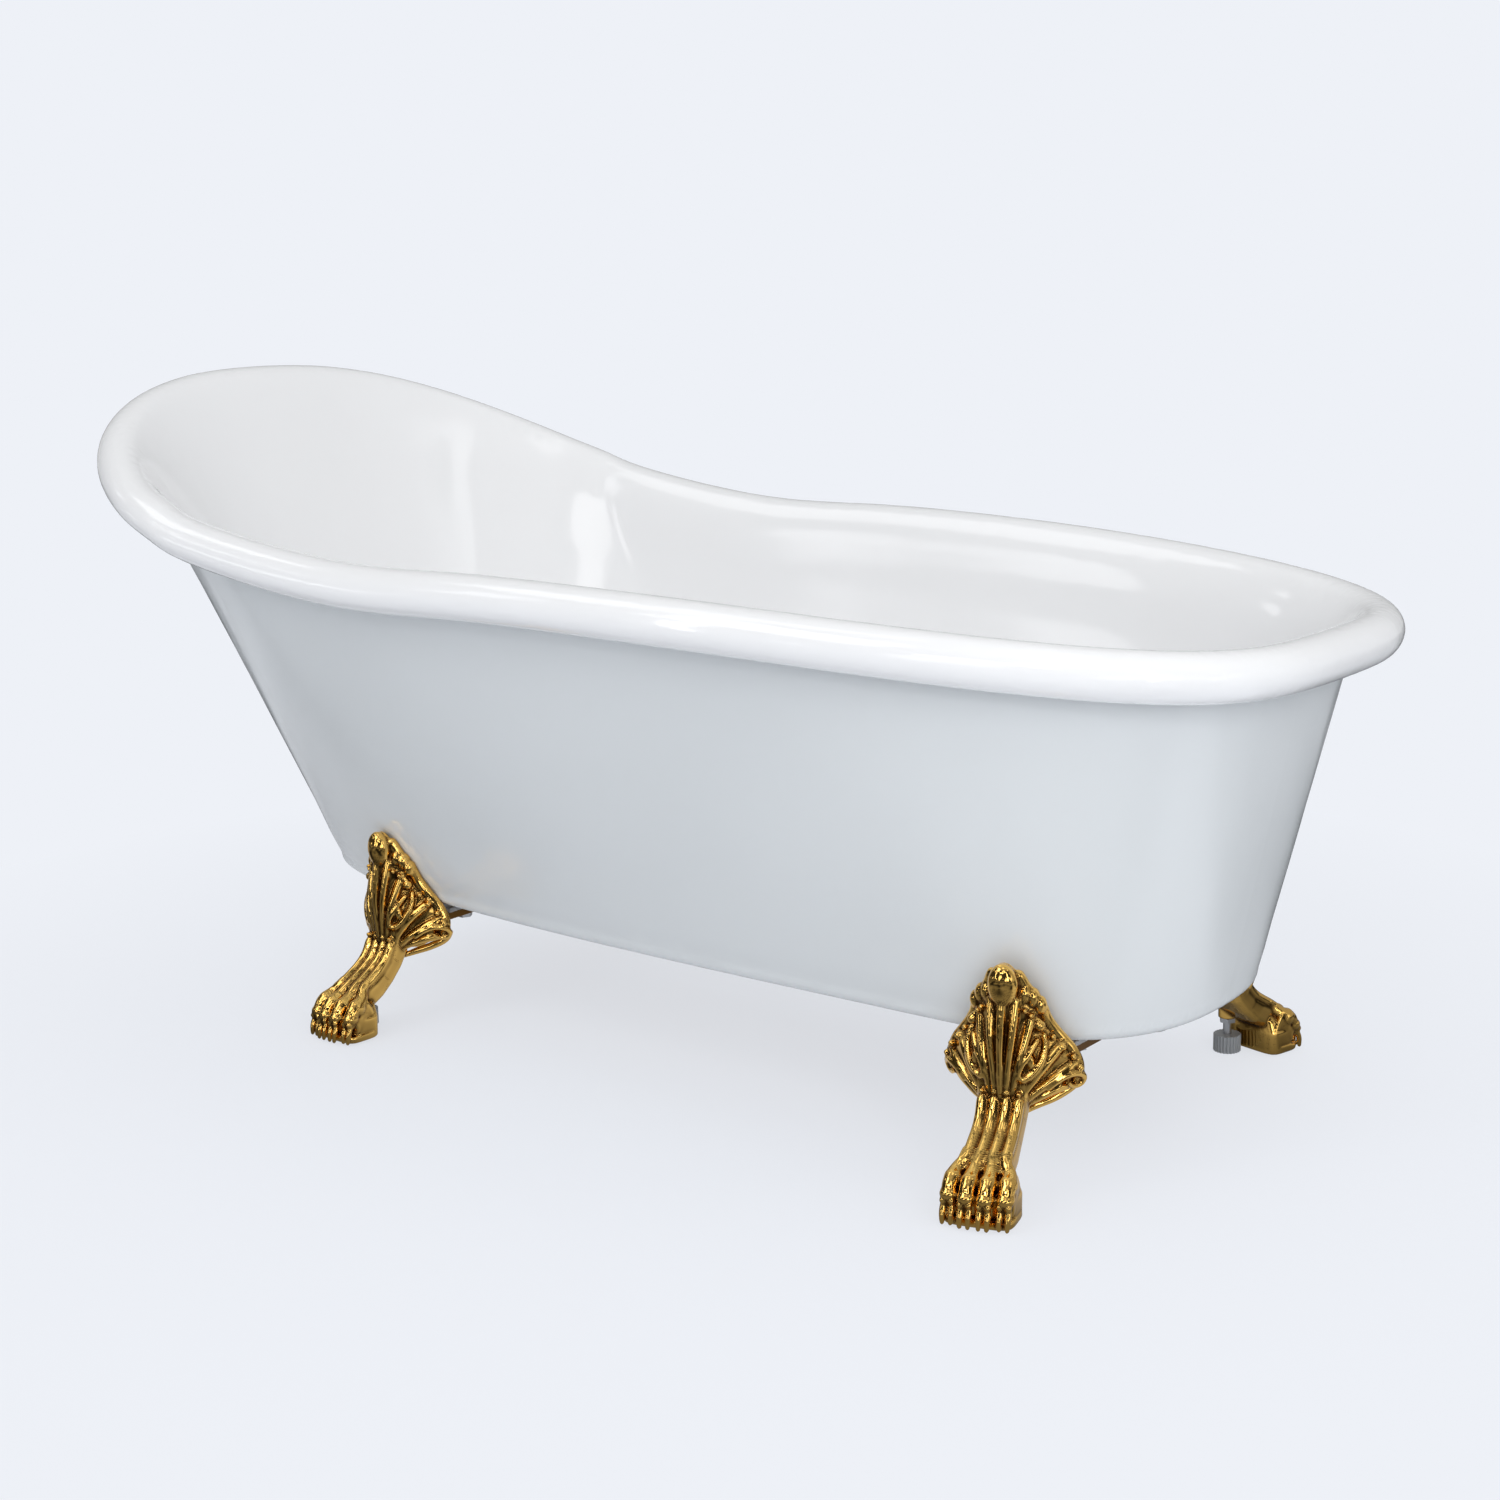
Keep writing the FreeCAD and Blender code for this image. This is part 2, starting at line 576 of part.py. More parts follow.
def shank():
    wires = []
    for i, (y, z, half_width, half_depth) in enumerate(SHANK_SPINE):
        a, b = SHANK_SPINE[max(i - 1, 0)], SHANK_SPINE[min(i + 1, len(SHANK_SPINE) - 1)]
        tip = math.degrees(math.atan2(a[0] - b[0], a[1] - b[1]))
        wires.append(oval(y, z, half_width, half_depth, -tip))
    return Part.makeLoft(wires, True)


def paw():
    """Sole, instep and four toes, each a knuckle, a toe tip and a claw."""
    toe_y = -TOE_REACH
    pieces = [Part.makeLoft([oval(toe_y + PAW_DEPTH - 4, 34, 24, 22, 62), oval(toe_y + 40, 26, 26, 21, 80),
                             oval(toe_y + 24, 18, PAW_HALF_WIDTH - 3, 17, 88)], True)]
    sole = box(V(-HEEL_HALF_WIDTH, toe_y + 14, 0), V(HEEL_HALF_WIDTH, toe_y + PAW_DEPTH, 9))
    pieces.append(sole.makeFillet(6, [e for e in sole.Edges if abs(e.Vertexes[0].Z - e.Vertexes[-1].Z) > 1]))
    width = 2 * PAW_HALF_WIDTH / TOES
    for i in range(TOES):
        u = -PAW_HALF_WIDTH + width * (i + 0.5)
        back = abs(u) / PAW_HALF_WIDTH * 10
        knuckle = V(u * 0.96, toe_y + 24 + back, 25)
        tip = V(u, toe_y + 13 + back, 11)
        pieces += [Part.makeSphere(11.4, knuckle), Part.makeSphere(10.3, tip),
                   Part.makeCone(11, 10.1, (tip - knuckle).Length, knuckle, tip - knuckle)]
        claw = V(u * 1.02, toe_y + 6 + back, 8)
        pieces.append(Part.makeCone(5, 1.5, 10, claw, V(0, -0.6, -0.8)))
    return pieces


def leg_frame(x, turn):
    """Placement of the near leg at x."""
    place = FreeCAD.Placement()
    place.Rotation = FreeCAD.Rotation(UP, turn)
    place.Base = V(x, -body_half_width(x) - LEG_SETBACK, 0)
    return place


def pad_place(x, turn):
    """Centre of the levelling pad behind the near leg's paw."""
    return leg_frame(x, turn).multVec(V(PAD_SIDE, -TOE_REACH + PAD_BACK, 0))


def leg(x, turn, block):
    """Casting of the near leg at x, with a tongue under the frame and a boss for its levelling foot."""
    pieces = [leaf(1.0, -LEAF_SEAT, LEAF_THICKNESS), leaf(0.78, LEAF_THICKNESS - 1, LEAF_THICKNESS + LEAF_RELIEF)]
    pieces += [shank()] + paw()
    boss = V(PAD_SIDE, -TOE_REACH + PAD_BACK, BOSS_BOTTOM_Z)
    pieces.append(rod(BOSS_RADIUS, boss, boss + UP * BOSS_HEIGHT))
    casting = pieces[0].multiFuse(pieces[1:])
    casting.Placement = leg_frame(x, turn)
    root = -body_half_width(x) - TONGUE_ROOT
    tongue = box(V(x - TONGUE_WIDTH / 2, root, TONGUE_BOTTOM_Z),
                 V(x + TONGUE_WIDTH / 2, root + TONGUE_LENGTH, PLATE_BOTTOM_Z))
    casting = casting.fuse(tongue)
    holes = [rod(BOLT_HOLE_RADIUS, lifted(p, TONGUE_BOTTOM_Z - 1), lifted(p, PLATE_BOTTOM_Z + 1))
             for p in bolt_places(x)]
    stem_hole = lifted(pad_place(x, turn), BOSS_BOTTOM_Z - 1)
    holes.append(rod(STEM_RADIUS + STEM_CLEARANCE, stem_hole, stem_hole + UP * (STEM_HOLE_DEPTH + 1)))
    span = TUB_WIDTH / 2
    holes.append(box(V(x - span, -span, -PAW_DEPTH), V(x + span, 0, 0)))
    return casting.cut(Part.Compound(holes)).cut(block)


# ---- leg bolts ---------------------------------------------------------------------------------------------
def near_bolt_places():
    return bolt_places(LEG_HEAD_X) + bolt_places(LEG_FOOT_X)


def everywhere(make):
    """One solid for each leg bolt, both sides."""
    near = [make(p) for p in near_bolt_places()]
    return Part.Compound(near + [mirrored(s) for s in near])


NUT_BOTTOM_Z = RAIL_BOTTOM_Z + RAIL_WALL
HEAD_TOP_Z = TONGUE_BOTTOM_Z - WASHER_THICKNESS


def leg_bolt(place):
    shank_top = lifted(place, NUT_BOTTOM_Z + NUT_HEIGHT + BOLT_PROUD)
    head = hexagon(BOLT_HEAD_FLATS, lifted(place, HEAD_TOP_Z - BOLT_HEAD_HEIGHT), lifted(place, HEAD_TOP_Z))
    return head.fuse(rod(BOLT_RADIUS, lifted(place, HEAD_TOP_Z - 1), shank_top))


def leg_washer(place):
    return ring_of(WASHER_RADIUS, BOLT_HOLE_RADIUS, lifted(place, HEAD_TOP_Z), lifted(place, TONGUE_BOTTOM_Z))


def leg_nut(place):
    low, high = lifted(place, NUT_BOTTOM_Z), lifted(place, NUT_BOTTOM_Z + NUT_HEIGHT)
    return hexagon(BOLT_HEAD_FLATS, low, high).cut(rod(BOLT_RADIUS + BOLT_THREAD_CLEARANCE, low, high))


# ---- levelling feet ----------------------------------------------------------------------------------------
def levelling_pad(place):
    pad = rod(PAD_RADIUS - PAD_RIB_RADIUS, place, place + UP * PAD_HEIGHT)
    ribs = []
    for i in range(PAD_RIBS):
        angle = 2 * math.pi * i / PAD_RIBS
        centre = place + V(math.cos(angle), math.sin(angle), 0) * (PAD_RADIUS - PAD_RIB_RADIUS)
        ribs.append(rod(PAD_RIB_RADIUS, centre, centre + UP * PAD_HEIGHT))
    socket_low = place + UP * (PAD_HEIGHT - STEM_SINK)
    return pad.multiFuse(ribs).cut(rod(STEM_RADIUS, socket_low, place + UP * PAD_HEIGHT))


def levelling_stem(place):
    low = place + UP * (PAD_HEIGHT - STEM_SINK)
    return rod(STEM_RADIUS, low, low + UP * STEM_LENGTH)


def lock_nut(place):
    high = lifted(place, BOSS_BOTTOM_Z - LOCK_NUT_GAP)
    low = high - UP * LOCK_NUT_HEIGHT
    return hexagon(LOCK_NUT_FLATS, low, high).cut(rod(STEM_RADIUS + STEM_CLEARANCE, low, high))


# ---- waste -------------------------------------------------------------------------------------------------
def drain(z):
    return V(DRAIN_X, 0, z)


FLANGE_BOTTOM_Z = BASIN_FLOOR_Z + SEAL_THICKNESS
FLANGE_TOP_Z = FLANGE_BOTTOM_Z + WASTE_FLANGE_THICKNESS
TUBE_END_Z = FLANGE_BOTTOM_Z - WASTE_TUBE_LENGTH
TUBE_BORE = WASTE_TUBE_RADIUS - WASTE_TUBE_WALL
LOWER_SEAL_TOP_Z = BASIN_FLOOR_Z - BASIN_FLOOR_THICKNESS
LOWER_SEAL_BOTTOM_Z = LOWER_SEAL_TOP_Z - LOWER_SEAL_THICKNESS
WASTE_WASHER_BOTTOM_Z = LOWER_SEAL_BOTTOM_Z - WASTE_WASHER_THICKNESS
TEE_TOP_Z = TUBE_END_Z + TEE_OVERLAP
TEE_RADIUS = WASTE_TUBE_RADIUS + TEE_WALL


def waste_flange():
    """Drain flange with its threaded tube and the spider that carries the plug's cartridge."""
    body = rod(WASTE_FLANGE_RADIUS, drain(FLANGE_BOTTOM_Z), drain(FLANGE_TOP_Z))
    body = body.fuse(rod(WASTE_TUBE_RADIUS, drain(TUBE_END_Z), drain(FLANGE_TOP_Z)))
    body = body.cut(rod(TUBE_BORE, drain(TUBE_END_Z - 1), drain(FLANGE_TOP_Z + 1)))
    low, high = drain(SPIDER_Z), drain(SPIDER_Z + SPIDER_HEIGHT)
    reach = TUBE_BORE + WASTE_TUBE_WALL / 2
    spider = rod(SPIDER_BOSS_RADIUS, low, high)
    for turn in (0, 90):
        bar = box(V(-reach, -SPIDER_BAR / 2, 0), V(reach, SPIDER_BAR / 2, SPIDER_HEIGHT))
        bar.rotate(V(0, 0, 0), UP, turn)
        bar.translate(low)
        spider = spider.fuse(bar)
    return body.fuse(spider).cut(rod(CARTRIDGE_RADIUS + CARTRIDGE_CLEARANCE, low - UP, high + UP))


def plug_cartridge():
    top = SPIDER_Z + SPIDER_HEIGHT
    body = rod(CARTRIDGE_RADIUS, drain(SPIDER_Z - 6), drain(top))
    body = body.fuse(rod(CARTRIDGE_HEAD_RADIUS, drain(top), drain(top + CARTRIDGE_HEAD)))
    return body.cut(rod(PLUG_STEM_RADIUS + PLUG_STEM_CLEARANCE, drain(SPIDER_Z - 7), drain(top + CARTRIDGE_HEAD + 1)))


PLUG_SEAL_BOTTOM_Z = FLANGE_TOP_Z + PLUG_SEAT_GAP
PLUG_BOTTOM_Z = PLUG_SEAL_BOTTOM_Z + PLUG_SEAL_THICKNESS


def waste_plug():
    """Domed cap on a stem."""
    half = PLUG_RADIUS
    rise = PLUG_CROWN
    ball = (half * half + rise * rise) / (2 * rise)
    top = PLUG_BOTTOM_Z + PLUG_THICKNESS
    cap = rod(PLUG_RADIUS, drain(PLUG_BOTTOM_Z), drain(top + rise))
    cap = cap.common(Part.makeSphere(ball, drain(top + rise - ball)))
    return cap.fuse(rod(PLUG_STEM_RADIUS, drain(PLUG_BOTTOM_Z - PLUG_STEM_LENGTH), drain(PLUG_BOTTOM_Z + 1)))


def waste_tee():
    """Tee under the drain: socket for the waste tube, outlet below, branch to the overflow."""
    reducer_top = TUBE_END_Z - 2
    reducer_low = BRANCH_Z + BRANCH_RADIUS
    outside = rod(TEE_RADIUS, drain(reducer_low - 2 * BRANCH_RADIUS - 4), drain(TEE_TOP_Z))
    outside = outside.fuse(rod(OUTLET_RADIUS, drain(OUTLET_END_Z), drain(reducer_top)))
    branch_end = V(DRAIN_X + BRANCH_REACH, 0, BRANCH_Z)
    outside = outside.fuse(rod(BRANCH_RADIUS, drain(BRANCH_Z), branch_end))
    inside = rod(WASTE_TUBE_RADIUS + THREAD_CLEARANCE, drain(TUBE_END_Z), drain(TEE_TOP_Z + 1))
    inside = inside.fuse(rod(OUTLET_BORE, drain(OUTLET_END_Z - 1), drain(TUBE_END_Z + 1)))
    inside = inside.fuse(rod(BRANCH_BORE, drain(BRANCH_Z), branch_end + V(1, 0, 0)))
    return outside.cut(inside)


# ---- overflow ----------------------------------------------------------------------------------------------
def foot_wall_point(z):
    """Inner face of the basin at the foot end, and its direction outwards, square to the wall."""
    reach = FOOT_END_X - ROLL_HALF_WIDTH
    angle = math.radians(ROLL_END_ANGLE)
    high = V(reach + ROLL_HALF_WIDTH * math.cos(angle), 0, rim_z(reach) + ROLL_HALF_HEIGHT * math.sin(angle))

    def at(level):
        depth = (high.z - level) / (high.z - BASIN_FLOOR_Z)
        return V(high.x + (FLOOR_FOOT_X - high.x) * wall_run(depth), 0, level)

    slope = at(z + 1) - at(z - 1)
    slope.normalize()
    return at(z), V(slope.z, 0, -slope.x)


def overflow_seat():
    return foot_wall_point(OVERFLOW_Z)


def on_overflow(shape):
    """Sets a shape drawn along +X from the wall's inner face square to that wall."""
    point, axis = overflow_seat()
    shape.rotate(V(0, 0, 0), V(0, 1, 0), math.degrees(math.atan2(-axis.z, axis.x)))
    shape.translate(point)
    return shape


def axial(radius, start, end):
    return Part.makeCylinder(radius, end - start, V(start, 0, 0), V(1, 0, 0))


def wall_square():
    """Thickness of the wall at the overflow, measured square to it."""
    point, axis = overflow_seat()
    high_z = rim_z(FOOT_END_X - ROLL_HALF_WIDTH) + ROLL_HALF_HEIGHT * math.sin(math.radians(ROLL_END_ANGLE))
    depth = (high_z - point.z) / (high_z - BASIN_FLOOR_Z)
    return BASIN_WALL * axis.x - BASIN_FLOOR_THICKNESS * depth * axis.z


def overflow_cover():
    """Slotted rosette with a boss through the wall, which the screw pulls to the elbow."""
    cover = axial(COVER_RADIUS, -SEAL_THICKNESS - COVER_THICKNESS, -SEAL_THICKNESS)
    holes = [axial(OVERFLOW_SCREW_RADIUS + THREAD_CLEARANCE, -20, 1)]
    for i in range(COVER_SLOTS):
        slot = axial(COVER_SLOT_RADIUS, -20, 1)
        slot.translate(V(0, COVER_SLOT_CIRCLE, 0))
        slot.rotate(V(0, 0, 0), V(1, 0, 0), 360 * i / COVER_SLOTS)
        holes.append(slot)
    return on_overflow(cover.cut(Part.Compound(holes)))


def overflow_seals(basin):
    """Flat rubber rings on both faces of the wall, moulded to it."""
    low, high = wall_square(), wall_square() + SEAL_THICKNESS
    seals = []
    for start, end in ((-SEAL_THICKNESS, 1), (low - 1, high)):
        ring = axial(OVERFLOW_SEAL_RADIUS, start, end).cut(axial(OVERFLOW_HOLE_RADIUS, start, end))
        seals.append(on_overflow(ring).cut(basin))
    return seals


def elbow_start():
    return wall_square() + SEAL_THICKNESS + SEAL_CLEARANCE


def overflow_elbow():
    """Flat backed elbow in the gap behind the wall, with a screw post and a spigot that points down."""
    start = elbow_start()
    body = axial(ELBOW_FLANGE_RADIUS, start, start + ELBOW_FLANGE_THICKNESS)
    body = body.fuse(axial(ELBOW_HALF_WIDTH, start, start + ELBOW_DEPTH))
    hollow = axial(ELBOW_HALF_WIDTH - ELBOW_WALL, start - 1, start + ELBOW_DEPTH - ELBOW_WALL)
    body = body.cut(hollow)
    post = axial(OVERFLOW_SCREW_RADIUS + 2, start, start + ELBOW_DEPTH - 1)
    post = post.cut(axial(OVERFLOW_SCREW_RADIUS, start - 1, start + ELBOW_DEPTH - ELBOW_WALL))
    spigot = Part.makeCylinder(SPIGOT_RADIUS, SPIGOT_LENGTH, V(start + ELBOW_DEPTH / 2, 0, SPIGOT_TOP), V(0, 0, -1))
    bore = Part.makeCylinder(PIPE_RADIUS + PIPE_CLEARANCE, SPIGOT_LENGTH + ELBOW_WALL + 1,
                             V(start + ELBOW_DEPTH / 2, 0, SPIGOT_TOP + ELBOW_WALL), V(0, 0, -1))
    return on_overflow(body.fuse(post).fuse(spigot).cut(bore))


def overflow_frame(x, z):
    """A point given square to the wall and up along it, from the middle of the overflow."""
    point, axis = overflow_seat()
    return point + axis * x + V(-axis.z, 0, axis.x) * z


def overflow_screw():
    head = axial(OVERFLOW_SCREW_RADIUS * 1.9, -SEAL_THICKNESS - COVER_THICKNESS - 2, -SEAL_THICKNESS - COVER_THICKNESS)
    shank_end = elbow_start() + ELBOW_DEPTH - ELBOW_WALL - 1
    return on_overflow(head.fuse(axial(OVERFLOW_SCREW_RADIUS - THREAD_CLEARANCE,
                                       -SEAL_THICKNESS - COVER_THICKNESS - 1, shank_end)))


def pipe_route():
    """Corners of the overflow pipe, from inside the elbow's spigot to inside the tee's branch."""
    across = elbow_start() + ELBOW_DEPTH / 2
    top = overflow_frame(across, SPIGOT_TOP - SPIGOT_LENGTH + PIPE_INSERT)
    along = overflow_frame(across, 0) - top
    knee = top + along * ((PIPE_DROP_X - top.x) / along.x)
    end = V(DRAIN_X + BRANCH_REACH - PIPE_INSERT, 0, BRANCH_Z)
    return [top, knee, V(PIPE_DROP_X, 0, BRANCH_Z), end]


def bent_pipe(radius):
    points = pipe_route()
    edges = []
    here = points[0]
    for a, b, c in zip(points, points[1:], points[2:]):
        back, ahead = a - b, c - b
        turn = math.pi - back.getAngle(ahead)
        cut_back = min(PIPE_BEND * math.tan(turn / 2), 0.45 * min(back.Length, ahead.Length))
        back.normalize()
        ahead.normalize()
        start, end = b + back * cut_back, b + ahead * cut_back
        bend = cut_back / math.tan(turn / 2)
        inward = back + ahead
        inward.normalize()
        centre = b + inward * (bend / math.cos(turn / 2))
        middle = centre - inward * bend
        edges.append(Part.LineSegment(here, start).toShape())
        edges.append(Part.Arc(start, middle, end).toShape())
        here = end
    edges.append(Part.LineSegment(here, points[-1]).toShape())
    path = Part.Wire(edges)
    circle = Part.Wire([Part.makeCircle(radius, points[0], points[1] - points[0])])
    return path.makePipeShell([circle], True, False)


def overflow_pipe():
    return bent_pipe(PIPE_RADIUS).cut(bent_pipe(PIPE_RADIUS - PIPE_WALL))


def pipe_union():
    """Union nut over the end of the tee's branch."""
    end = V(DRAIN_X + BRANCH_REACH, 0, BRANCH_Z)
    low, high = end - V(UNION_LENGTH - 3, 0, 0), end + V(3, 0, 0)
    bore = rod(BRANCH_RADIUS + THREAD_CLEARANCE, low, end)
    return rod(UNION_RADIUS, low, high).cut(bore).cut(rod(PIPE_RADIUS + PIPE_CLEARANCE, low, high))


# ---- all pieces --------------------------------------------------------------------------------------------
def pieces():
    basin = basin_shell()
    inner_seal, outer_seal = overflow_seals(basin)
    made = {
        "basin_shell": basin,
        "outer_skirt": outer_skirt(),
        "base_board": base_board(),
        "side_rail_near": side_rail(),
        "side_rail_far": mirrored(side_rail()),
        "cross_rail_head": cross_rail(LEG_HEAD_X),
        "cross_rail_foot": cross_rail(LEG_FOOT_X),
        "leg_bolts": everywhere(leg_bolt),
        "leg_washers": everywhere(leg_washer),
        "leg_nuts": everywhere(leg_nut),
        "waste_flange": waste_flange(),
        "waste_upper_seal": ring_of(WASTE_FLANGE_RADIUS - 3, WASTE_TUBE_RADIUS + SEAL_CLEARANCE,
                                    drain(BASIN_FLOOR_Z), drain(FLANGE_BOTTOM_Z)),
        "waste_lower_seal": ring_of(LOWER_SEAL_RADIUS, WASTE_TUBE_RADIUS + SEAL_CLEARANCE,
                                    drain(LOWER_SEAL_BOTTOM_Z), drain(LOWER_SEAL_TOP_Z)),
        "waste_washer": ring_of(LOWER_SEAL_RADIUS, WASTE_TUBE_RADIUS + SEAL_CLEARANCE,
                                drain(WASTE_WASHER_BOTTOM_Z), drain(LOWER_SEAL_BOTTOM_Z)),
        "waste_locknut": ring_of(LOCKNUT_RADIUS, WASTE_TUBE_RADIUS + THREAD_CLEARANCE,
                                 drain(WASTE_WASHER_BOTTOM_Z - LOCKNUT_HEIGHT), drain(WASTE_WASHER_BOTTOM_Z)),
        "waste_tee": waste_tee(),
        "plug_cartridge": plug_cartridge(),
        "waste_plug": waste_plug(),
        "plug_seal": ring_of(PLUG_SEAL_RADIUS, PLUG_SEAL_BORE, drain(PLUG_SEAL_BOTTOM_Z), drain(PLUG_BOTTOM_Z)),
        "overflow_cover": overflow_cover(),
        "overflow_inner_seal": inner_seal,
        "overflow_outer_seal": outer_seal,
        "overflow_elbow": overflow_elbow(),
        "overflow_screw": overflow_screw(),
        "overflow_pipe": overflow_pipe(),
        "overflow_pipe_union": pipe_union(),
    }
    plates, locks, block = [], [], skirt_block()
    for end, x, turn in (("head", LEG_HEAD_X, LEG_HEAD_TURN), ("foot", LEG_FOOT_X, LEG_FOOT_TURN)):
        casting, place = leg(x, turn, block), pad_place(x, turn)
        for side, put in (("near", lambda s: s), ("far", mirrored)):
            made[f"leg_{end}_{side}"] = put(casting)
            made[f"levelling_pad_{end}_{side}"] = put(levelling_pad(place))
            made[f"levelling_stem_{end}_{side}"] = put(levelling_stem(place))
            plates.append(put(leg_plate(x)))
            locks.append(put(lock_nut(place)))
    made["leg_plates"] = Part.Compound(plates)
    made["levelling_lock_nuts"] = Part.Compound(locks)
    return made


os.makedirs("parts", exist_ok=True)
for name, shape in pieces().items():
    shape.exportStep(f"parts/{name}.step")
    ok = shape.isValid() and all(s.Volume > 0 for s in shape.Solids)
    print(f"{name}: {len(shape.Solids)} solids, volume {shape.Volume / 1000:.1f} cm3, valid {ok}")
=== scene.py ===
"""Clawfoot slipper bathtub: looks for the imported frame, laid out as a Blender add-on.

Metres, in the frame of the solids: +X to the low foot end, -Y to the near side, +Z up, origin on the floor.
"""

import json
import math

import bpy
from mathutils import Matrix, Vector


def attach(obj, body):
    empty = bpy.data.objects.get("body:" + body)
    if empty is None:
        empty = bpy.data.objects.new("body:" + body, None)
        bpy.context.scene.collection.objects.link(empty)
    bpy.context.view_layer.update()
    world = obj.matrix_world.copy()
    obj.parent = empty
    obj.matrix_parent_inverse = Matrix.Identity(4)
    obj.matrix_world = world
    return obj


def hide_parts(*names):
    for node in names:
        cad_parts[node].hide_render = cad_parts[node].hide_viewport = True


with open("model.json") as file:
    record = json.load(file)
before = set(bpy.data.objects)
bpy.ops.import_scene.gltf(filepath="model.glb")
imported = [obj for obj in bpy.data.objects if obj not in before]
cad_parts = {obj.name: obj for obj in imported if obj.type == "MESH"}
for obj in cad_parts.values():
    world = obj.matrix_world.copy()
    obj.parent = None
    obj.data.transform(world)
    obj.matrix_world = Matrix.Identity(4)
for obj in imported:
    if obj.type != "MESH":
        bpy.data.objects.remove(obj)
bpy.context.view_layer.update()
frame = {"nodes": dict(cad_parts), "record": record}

bl_info = {
    "name": "Clawfoot bathtub",
    "version": (1, 0, 0),
    "blender": (4, 5, 0),
    "location": "View3D > Sidebar > Bathtub",
    "description": "Claw legs, glossy shells, metal and rubber finishes and a pale studio for a clawfoot bathtub",
    "category": "Object",
}

MM = 0.001
# Mesh attribute that tells the gold where to paint shade: low in the creases.
PAINTED_SHADE_ATTRIBUTE = "hollows"


# ---- settings -------------------------------------------------------------------------------------------------------
def colour(name, description, default):
    return bpy.props.FloatVectorProperty(name=name, description=description, default=default, subtype="COLOR",
                                         size=3, min=0.0, max=1.0)


def length(name, description, default):
    return bpy.props.FloatProperty(name=name, description=description, default=default, unit="LENGTH",
                                   subtype="DISTANCE")


class TubColours(bpy.types.PropertyGroup):
    basin: colour("Basin", "Colour of the white acrylic basin and its roll", (0.86, 0.865, 0.875))
    # The skirt's colour is darker than the basin's partly as its own greyer tone and partly as painted shade on its
    # upright sides.
    skirt: colour("Skirt", "Colour of the greyer outer skirt", (0.70, 0.728, 0.743))
    gold: colour("Gold", "Colour of the polished claw legs", (0.95, 0.58, 0.15))
    # The gold's hollow colour is painted shade for the dark of its creases.
    gold_painted_shade: colour("Gold hollows", "Colour of the gold deep between its flutes", (0.13, 0.05, 0.010))
    pad: colour("Levelling pads", "Colour of the ribbed plastic pads", (0.33, 0.35, 0.37))
    board: colour("Board", "Colour of the wooden base board", (0.42, 0.28, 0.15))
    daylight: colour("Daylight", "Colour of the even light from all sides", (0.875, 0.882, 0.892))
    backdrop: colour("Backdrop", "Colour of the floor and backdrop", (0.855, 0.879, 0.930))


class TubSizes(bpy.types.PropertyGroup):
    casting_grain: length("Casting grain", "Size of the smallest form kept in the leg castings", 0.00115)


# ---- shader maths ---------------------------------------------------------------------------------------------------
class Wire:
    """An output of a shader node that can be reckoned with."""

    def __init__(self, owner, socket):
        self.owner, self.socket = owner, socket

    def __add__(self, other):
        return self.owner.maths("ADD", self, other)

    def __sub__(self, other):
        return self.owner.maths("SUBTRACT", self, other)

    def __rsub__(self, other):
        return self.owner.maths("SUBTRACT", other, self)

    def __mul__(self, other):
        return self.owner.maths("MULTIPLY", self, other)

    __radd__ = __add__
    __rmul__ = __mul__


class Nodes:
    """A node tree whose nodes are added by type, settings and inputs."""

    def __init__(self, tree):
        self.tree = tree

    def node(self, kind, settings=None, inputs=None, out=0):
        node = self.tree.nodes.new(kind)
        for key, value in (settings or {}).items():
            if key == "stops":
                ramp = node.color_ramp
                while len(ramp.elements) < len(value):
                    ramp.elements.new(0.5)
                for element, (place, tint) in zip(ramp.elements, value):
                    element.position, element.color = place, (*tint, 1.0)
            else:
                setattr(node, key, value)
        for key, value in (inputs or {}).items():
            self.feed(node.inputs[key], value)
        return Wire(self, node.outputs[out])

    def feed(self, socket, value):
        if isinstance(value, Wire):
            self.tree.links.new(value.socket, socket)
        else:
            socket.default_value = value

    def maths(self, operation, first, second):
        return self.node("ShaderNodeMath", {"operation": operation}, {0: first, 1: second})

    def place(self):
        return self.node("ShaderNodeTexCoord", out="Object")

    def noise(self, scale, detail, rough=0.5, where=None):
        return self.node("ShaderNodeTexNoise", inputs={
            "Vector": where or self.place(), "Scale": scale, "Detail": detail, "Roughness": rough})

    def mix(self, share, first, second):
        """Colour between two colours."""
        return self.node("ShaderNodeMix", {"data_type": "RGBA"}, {0: share, 6: first, 7: second}, out=2)

    def span(self, value, low, high, to_low=0.0, to_high=1.0):
        """The value's place between low and high, as a number from to_low to to_high."""
        return self.node("ShaderNodeMapRange", inputs={0: value, 1: low, 2: high, 3: to_low, 4: to_high})

    def ray_is(self, kind):
        return self.node("ShaderNodeLightPath", out=f"Is {kind} Ray")

    def blend(self, share, first, second):
        """Shader between two shaders."""
        return self.node("ShaderNodeMixShader", inputs={0: share, 1: first, 2: second})


class Finish(Nodes):
    """A material on one Principled shader."""

    def __init__(self, name, **fixed):
        self.material = bpy.data.materials.new(name)
        self.material.use_nodes = True
        super().__init__(self.material.node_tree)
        self.shader = self.tree.nodes["Principled BSDF"]
        for socket, value in fixed.items():
            self.shader.inputs[socket.replace("_", " ")].default_value = value

    def set(self, socket, value):
        self.feed(self.shader.inputs[socket], value)

    def bump(self, height, strength, distance):
        self.set("Normal", self.node("ShaderNodeBump", inputs={
            "Strength": strength, "Distance": distance, "Height": height}))


def rgba(tint, shade=1.0):
    return (tint[0] * shade, tint[1] * shade, tint[2] * shade, 1.0)


FINISHES = {}


def finish_of(name, make):
    """The material of this name, made on its first use."""
    if name not in FINISHES:
        FINISHES[name] = make().material
    return FINISHES[name]


